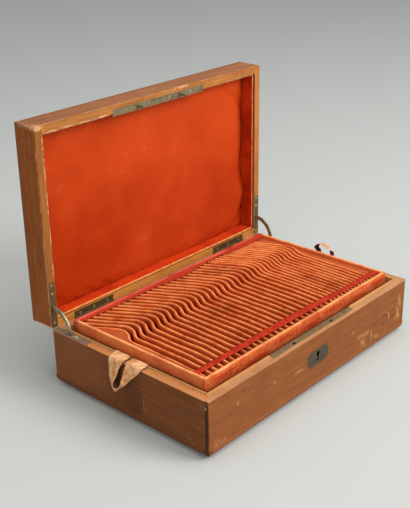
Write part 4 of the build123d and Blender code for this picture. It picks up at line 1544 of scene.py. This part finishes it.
@dataclass
class Hardware:
    """Hinges, stays, lock and their screws.

    Attributes:
        effects: the shared node groups.
        glint_spot: a painted highlight on the left stay plate, where light catches its slot, in millimetres.
    """

    effects: Effects
    glint_spot: Point = (-191.0, 88.7, 74.0)

    def build(self) -> None:
        """Dresses every metal piece."""
        leaf = OldMetal("hinge_brass", paint(120, 90, 44), paint(88, 62, 28), paint(56, 40, 20),
                        (6.0, 1.0, 1.0), 0.75)
        bronze = OldMetal("lid_plate_bronze", paint(132, 112, 70), paint(92, 74, 42), paint(58, 46, 26),
                          (1.0, 1.0, 6.0), 0.7)
        # a painted highlight where light catches the left stay plate's slot
        spot = Mark(self.glint_spot, (2.4, 6.0, 2), paint(206, 196, 156), 0.85, 0.5)
        plate = OldMetal("stay_plate_brass", paint(156, 142, 128), paint(126, 112, 98), paint(86, 74, 62),
                         (1.0, 6.0, 6.0), 0.6, marks=(spot,))
        arm = OldMetal("stay_arm_brass", paint(170, 156, 122), paint(126, 116, 86), paint(86, 76, 54),
                       cover=0.5)
        lock = OldMetal("lock_plate_metal", paint(146, 128, 92), paint(122, 104, 72), paint(92, 76, 52),
                        (8.0, 1.0, 1.0), 0.6)
        keyhole = OldMetal("keyhole_plate_metal", paint(94, 78, 58), paint(76, 62, 46), paint(62, 48, 36),
                           cover=0.7)
        steel = OldMetal("screw_metal", paint(186, 166, 130), paint(140, 122, 90), paint(92, 76, 52),
                         cover=0.5)
        works = OldMetal("lock_works_metal", paint(120, 116, 108), paint(70, 64, 56), paint(60, 40, 28),
                         cover=0.6)
        iron = OldMetal("lock_case_iron", paint(40, 36, 32), paint(28, 24, 21), paint(20, 15, 12), cover=0.7)
        rows = ((leaf, 0.0002, ("hinge_leaf_base_left", "hinge_leaf_base_right", "hinge_leaf_lid_left",
                                "hinge_leaf_lid_right")),
                (plate, 0.0, ("stay_plate_base_left", "stay_plate_base_right")),
                (bronze, 0.0, ("stay_plate_lid_left", "stay_plate_lid_right")),
                (arm, 0.0003, ("stay_arm_left", "stay_arm_right")),
                (lock, 0.0002, ("lock_plate", "link_plate")),
                (keyhole, 0.0002, ("escutcheon",)),
                (steel, 0.0, ("hinge_screws_base", "hinge_screws_lid", "stay_screws_base", "stay_screws_lid",
                              "lock_screws", "link_screws", "key_post")),
                (iron, 0.0, ("lock_case", "lock_bolt")),
                (works, 0.0, ("hinge_pin_left", "hinge_pin_right")))
        for finish, ease, nodes in rows:
            dress(nodes, finish.make(self.effects), ease)
        log.info("hardware: hinges, stays, lock, keyhole plate and screws")


@dataclass
class LidLining:
    """The padded satin under the lid's top, swollen and drawn in at its edges.

    Attributes:
        effects: the shared node groups.
        step: spacing of the cloth's points in millimetres.
        cap: how far the cloth may move, in millimetres.
        frames: for how many frames it swells.
        edge: how far its front stands before the lid's ceiling at its edges, in millimetres.
        crown: how much further it stands out in the middle, in millimetres.
        curl: how far its loose right edge curls out, in millimetres.
        curl_height: where on the open lid it curls most, in metres.
        curl_tall: how tall the curl is, in metres.
        curl_wide: how wide the curl is, in millimetres.
        slack: how far it sags out low down, in millimetres.
        slack_tall: how far up the sag reaches, in millimetres.
        slack_start: how far from the right edge the sag is full, in millimetres.
    """

    effects: Effects
    step: float = 4.0
    cap: float = 1.2
    frames: int = 20
    edge: float = 6.4
    crown: float = 1.6
    curl: float = 5.0
    curl_height: float = 0.137
    curl_tall: float = 0.017
    curl_wide: float = 26.0
    slack: float = 4.8
    slack_tall: float = 34.0
    slack_start: float = 70.0

    @staticmethod
    def stations(low: float, high: float, step: float) -> np.ndarray:
        """Places of the cloth's points along one side, closer together near its ends.

        Args:
            low: where the side starts.
            high: where it ends.
            step: the wide spacing.

        Returns:
            The places.
        """
        near = np.array([0.0, 0.0006, 0.0014, 0.0026])
        far = np.linspace(low + 0.005, high - 0.005, int((high - low) / step))
        return np.concatenate([low + near, far, high - near[::-1]])

    def surface(self, xs: np.ndarray, zs: np.ndarray, top: float) -> np.ndarray:
        """The cloth before it swells: over a flat pad, drawn in at its edges, slack low down.

        Args:
            xs: places of its points along the length.
            zs: places of its points up the lid.
            top: where the lid's ceiling lies along Y.

        Returns:
            The points in metres.
        """
        points = []
        for z in zs:
            for x in xs:
                edge = min(x - xs[0], xs[-1] - x, z - zs[0], zs[-1] - z) / MM
                crown = 1 - math.exp(-edge / 1.2)
                from_right, from_low = (xs[-1] - x) / MM, (z - zs[0]) / MM
                from_curl = (z - self.curl_height) / self.curl_tall
                curl = self.curl * math.exp(-from_curl ** 2 - (from_right / self.curl_wide) ** 2)
                curl += 0.8 * math.exp(-(from_right / 10) ** 2) * math.sin(z * 90)
                low_down = math.exp(-(from_low / self.slack_tall) ** 2)
                slack = self.slack * low_down * min(1.0, from_right / self.slack_start)
                out = self.edge + self.crown * crown + curl + slack
                out += 0.7 * smooth_noise(x * 16, z * 16, 1.0) * crown
                points.append((x, top - out * MM, z))
        return np.array(points)

    def swell(self, piece: bpy.types.Object, pinned: Sequence[int], start: np.ndarray) -> np.ndarray:
        """Lets the cloth swell from its fixed edges.

        Args:
            piece: the cloth.
            pinned: numbers of the points that are tacked down.
            start: the cloth's points before.

        Returns:
            The cloth's points after, none moved further than the cap.
        """
        group = piece.vertex_groups.new(name="tacked")
        group.add(list(pinned), 1.0, "REPLACE")
        cloth = piece.modifiers.new("cloth", "CLOTH")
        wanted = {"quality": 6, "mass": 0.2, "vertex_group_mass": "tacked", "use_pressure": True,
                  "uniform_pressure_force": 4.0, "shrink_min": -0.025, "tension_stiffness": 25,
                  "compression_stiffness": 25, "bending_stiffness": 0.6}
        for setting, value in wanted.items():
            setattr(cloth.settings, setting, value)
        cloth.settings.effector_weights.gravity = 0.0
        scene = bpy.context.scene
        for number in range(1, self.frames + 1):
            scene.frame_set(number)
        moved = np.zeros(len(start) * 3)
        evaluated = piece.evaluated_get(bpy.context.evaluated_depsgraph_get())
        evaluated.data.vertices.foreach_get("co", moved)
        moved = moved.reshape(-1, 3)
        piece.modifiers.remove(cloth)
        scene.frame_set(1)
        away = moved - start
        length = np.linalg.norm(away, axis=1, keepdims=True)
        return start + away * np.minimum(1.0, self.cap * MM / np.maximum(length, 1e-9))

    def build(self) -> None:
        """Makes the lining: the swollen front and a flat back, closed."""
        low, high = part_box("lid_lining")
        xs = self.stations(low.x, high.x, self.step * MM)
        zs = self.stations(low.z, high.z, self.step * MM)
        columns, rows = len(xs), len(zs)
        start = self.surface(xs, zs, high.y)
        faces = sheet_faces(rows, columns)
        front = start
        mesh = bpy.data.meshes.new("lining_cloth")
        mesh.from_pydata([tuple(p) for p in start], [], faces[:(rows - 1) * (columns - 1)])
        cloth = bpy.data.objects.new("lining_cloth", mesh)
        bpy.context.scene.collection.objects.link(cloth)
        edge = [r * columns + c for r in range(rows) for c in range(columns)
                if r in (0, rows - 1) or c in (0, columns - 1)]
        front = self.swell(cloth, edge, start)
        bpy.data.objects.remove(cloth)
        back = front.copy()
        back[:, 1] = high.y
        # the satin's last two values set its painted light gradient, lighter towards the top and right
        satin = Satin("lining_satin", paint(166, 44, 4), paint(202, 70, 22), paint(224, 112, 66),
                      (1.3, 0.0, 3.6), 0.68).make(self.effects)
        piece = mesh_piece("satin_lining", np.vstack([front, back]), faces, "lid", satin,
                           ["lid_lining"])
        log.info("lid lining: %d by %d points", columns, rows)


@dataclass
class Studio:
    """The camera at the photograph's angle, the floor and the soft lights.

    Attributes:
        azimuth: of the camera round the chest, in degrees.
        elevation: of the camera above the floor, in degrees.
        roll: of the camera, in degrees.
        distance: from the target, in millimetres.
        focal: in pixels of the photograph's frame.
        target: the point that it looks at, in millimetres.
        photo_height: of the photograph, in pixels.
        sensor: width of the camera's sensor, in millimetres.
        floor_half: half the side of the floor, in metres.
    """

    azimuth: float = -47.95
    elevation: float = 23.697
    roll: float = -0.877
    distance: float = 1196.28
    focal: float = 951.30
    target: Point = (-9.782, 45.060, 132.243)
    photo_height: float = 508.0
    sensor: float = 36.0
    floor_half: float = 9.0

    def camera(self) -> None:
        """Makes the camera and sets it as the scene's."""
        a, e, r = (math.radians(v) for v in (self.azimuth, self.elevation, self.roll))
        back = Vector((math.sin(a) * math.cos(e), -math.cos(a) * math.cos(e), math.sin(e)))
        right = Vector((math.cos(a), math.sin(a), 0.0))
        up = back.cross(right)
        right, up = right * math.cos(r) + up * math.sin(r), up * math.cos(r) - right * math.sin(r)
        data = bpy.data.cameras.new("camera")
        data.sensor_width = self.sensor
        data.lens = self.focal / self.photo_height * self.sensor
        data.clip_start = 0.05
        data.clip_end = 60.0
        camera = bpy.data.objects.new("camera", data)
        eye = (Vector(self.target) + back * self.distance) * MM
        turn = Matrix((right, up, back)).transposed()
        camera.matrix_world = Matrix.Translation(eye) @ turn.to_4x4()
        bpy.context.scene.collection.objects.link(camera)
        bpy.context.scene.camera = camera

    def lamp(self, name: str, place: Point, size: float, power: float) -> None:
        """Hangs one soft square lamp that looks at the chest.

        Args:
            name: the lamp's name.
            place: where it hangs, in metres.
            size: its side in metres.
            power: its power in watts.
        """
        data = bpy.data.lights.new(name, "AREA")
        data.size = size
        data.energy = power
        lamp = bpy.data.objects.new(name, data)
        lamp.location = place
        aim = Vector((0.0, 0.0, 0.08)) - Vector(place)
        lamp.rotation_euler = aim.to_track_quat("-Z", "Y").to_euler()
        bpy.context.scene.collection.objects.link(lamp)

    def floor(self) -> None:
        """Lays the plain pale floor."""
        mesh = bpy.data.meshes.new("floor")
        far = self.floor_half
        mesh.from_pydata([(-far, -far, 0), (far, -far, 0), (far, far, 0), (-far, far, 0)], [], [(0, 1, 2, 3)])
        floor = bpy.data.objects.new("floor", mesh)
        floor.location.z = -0.0003
        material = bpy.data.materials.new("floor_paper")
        material.use_nodes = True
        shader = material.node_tree.nodes["Principled BSDF"]
        shader.inputs["Base Color"].default_value = paint(189, 190, 186)
        shader.inputs["Roughness"].default_value = 0.9
        mesh.materials.append(material)
        bpy.context.scene.collection.objects.link(floor)

    def build(self) -> None:
        """Sets up camera, floor and light."""
        self.camera()
        self.floor()
        world = bpy.data.worlds.new("studio")
        world.use_nodes = True
        backdrop = world.node_tree.nodes["Background"]
        backdrop.inputs["Color"].default_value = (0.96, 0.99, 1.0, 1.0)
        backdrop.inputs["Strength"].default_value = 0.5
        bpy.context.scene.world = world
        bpy.context.scene.view_settings.view_transform = "Standard"
        self.lamp("key_lamp", (1.0, -2.2, 1.7), 1.4, 62.0)
        self.lamp("fill_lamp", (-2.2, -1.4, 1.4), 2.0, 16.0)
        self.lamp("top_lamp", (0.1, -0.3, 2.2), 1.8, 22.0)
        log.info("studio: camera, floor and lamps")


def main() -> None:
    """Builds the studio and the chest, piece by piece."""
    logging.basicConfig(level=logging.INFO, format="%(message)s")
    Studio().build()
    effects = Effects()
    Case(effects).build()
    Hardware(effects).build()
    Tray(effects).build()
    LidLining(effects).build()


if __name__ == "__main__":
    main()
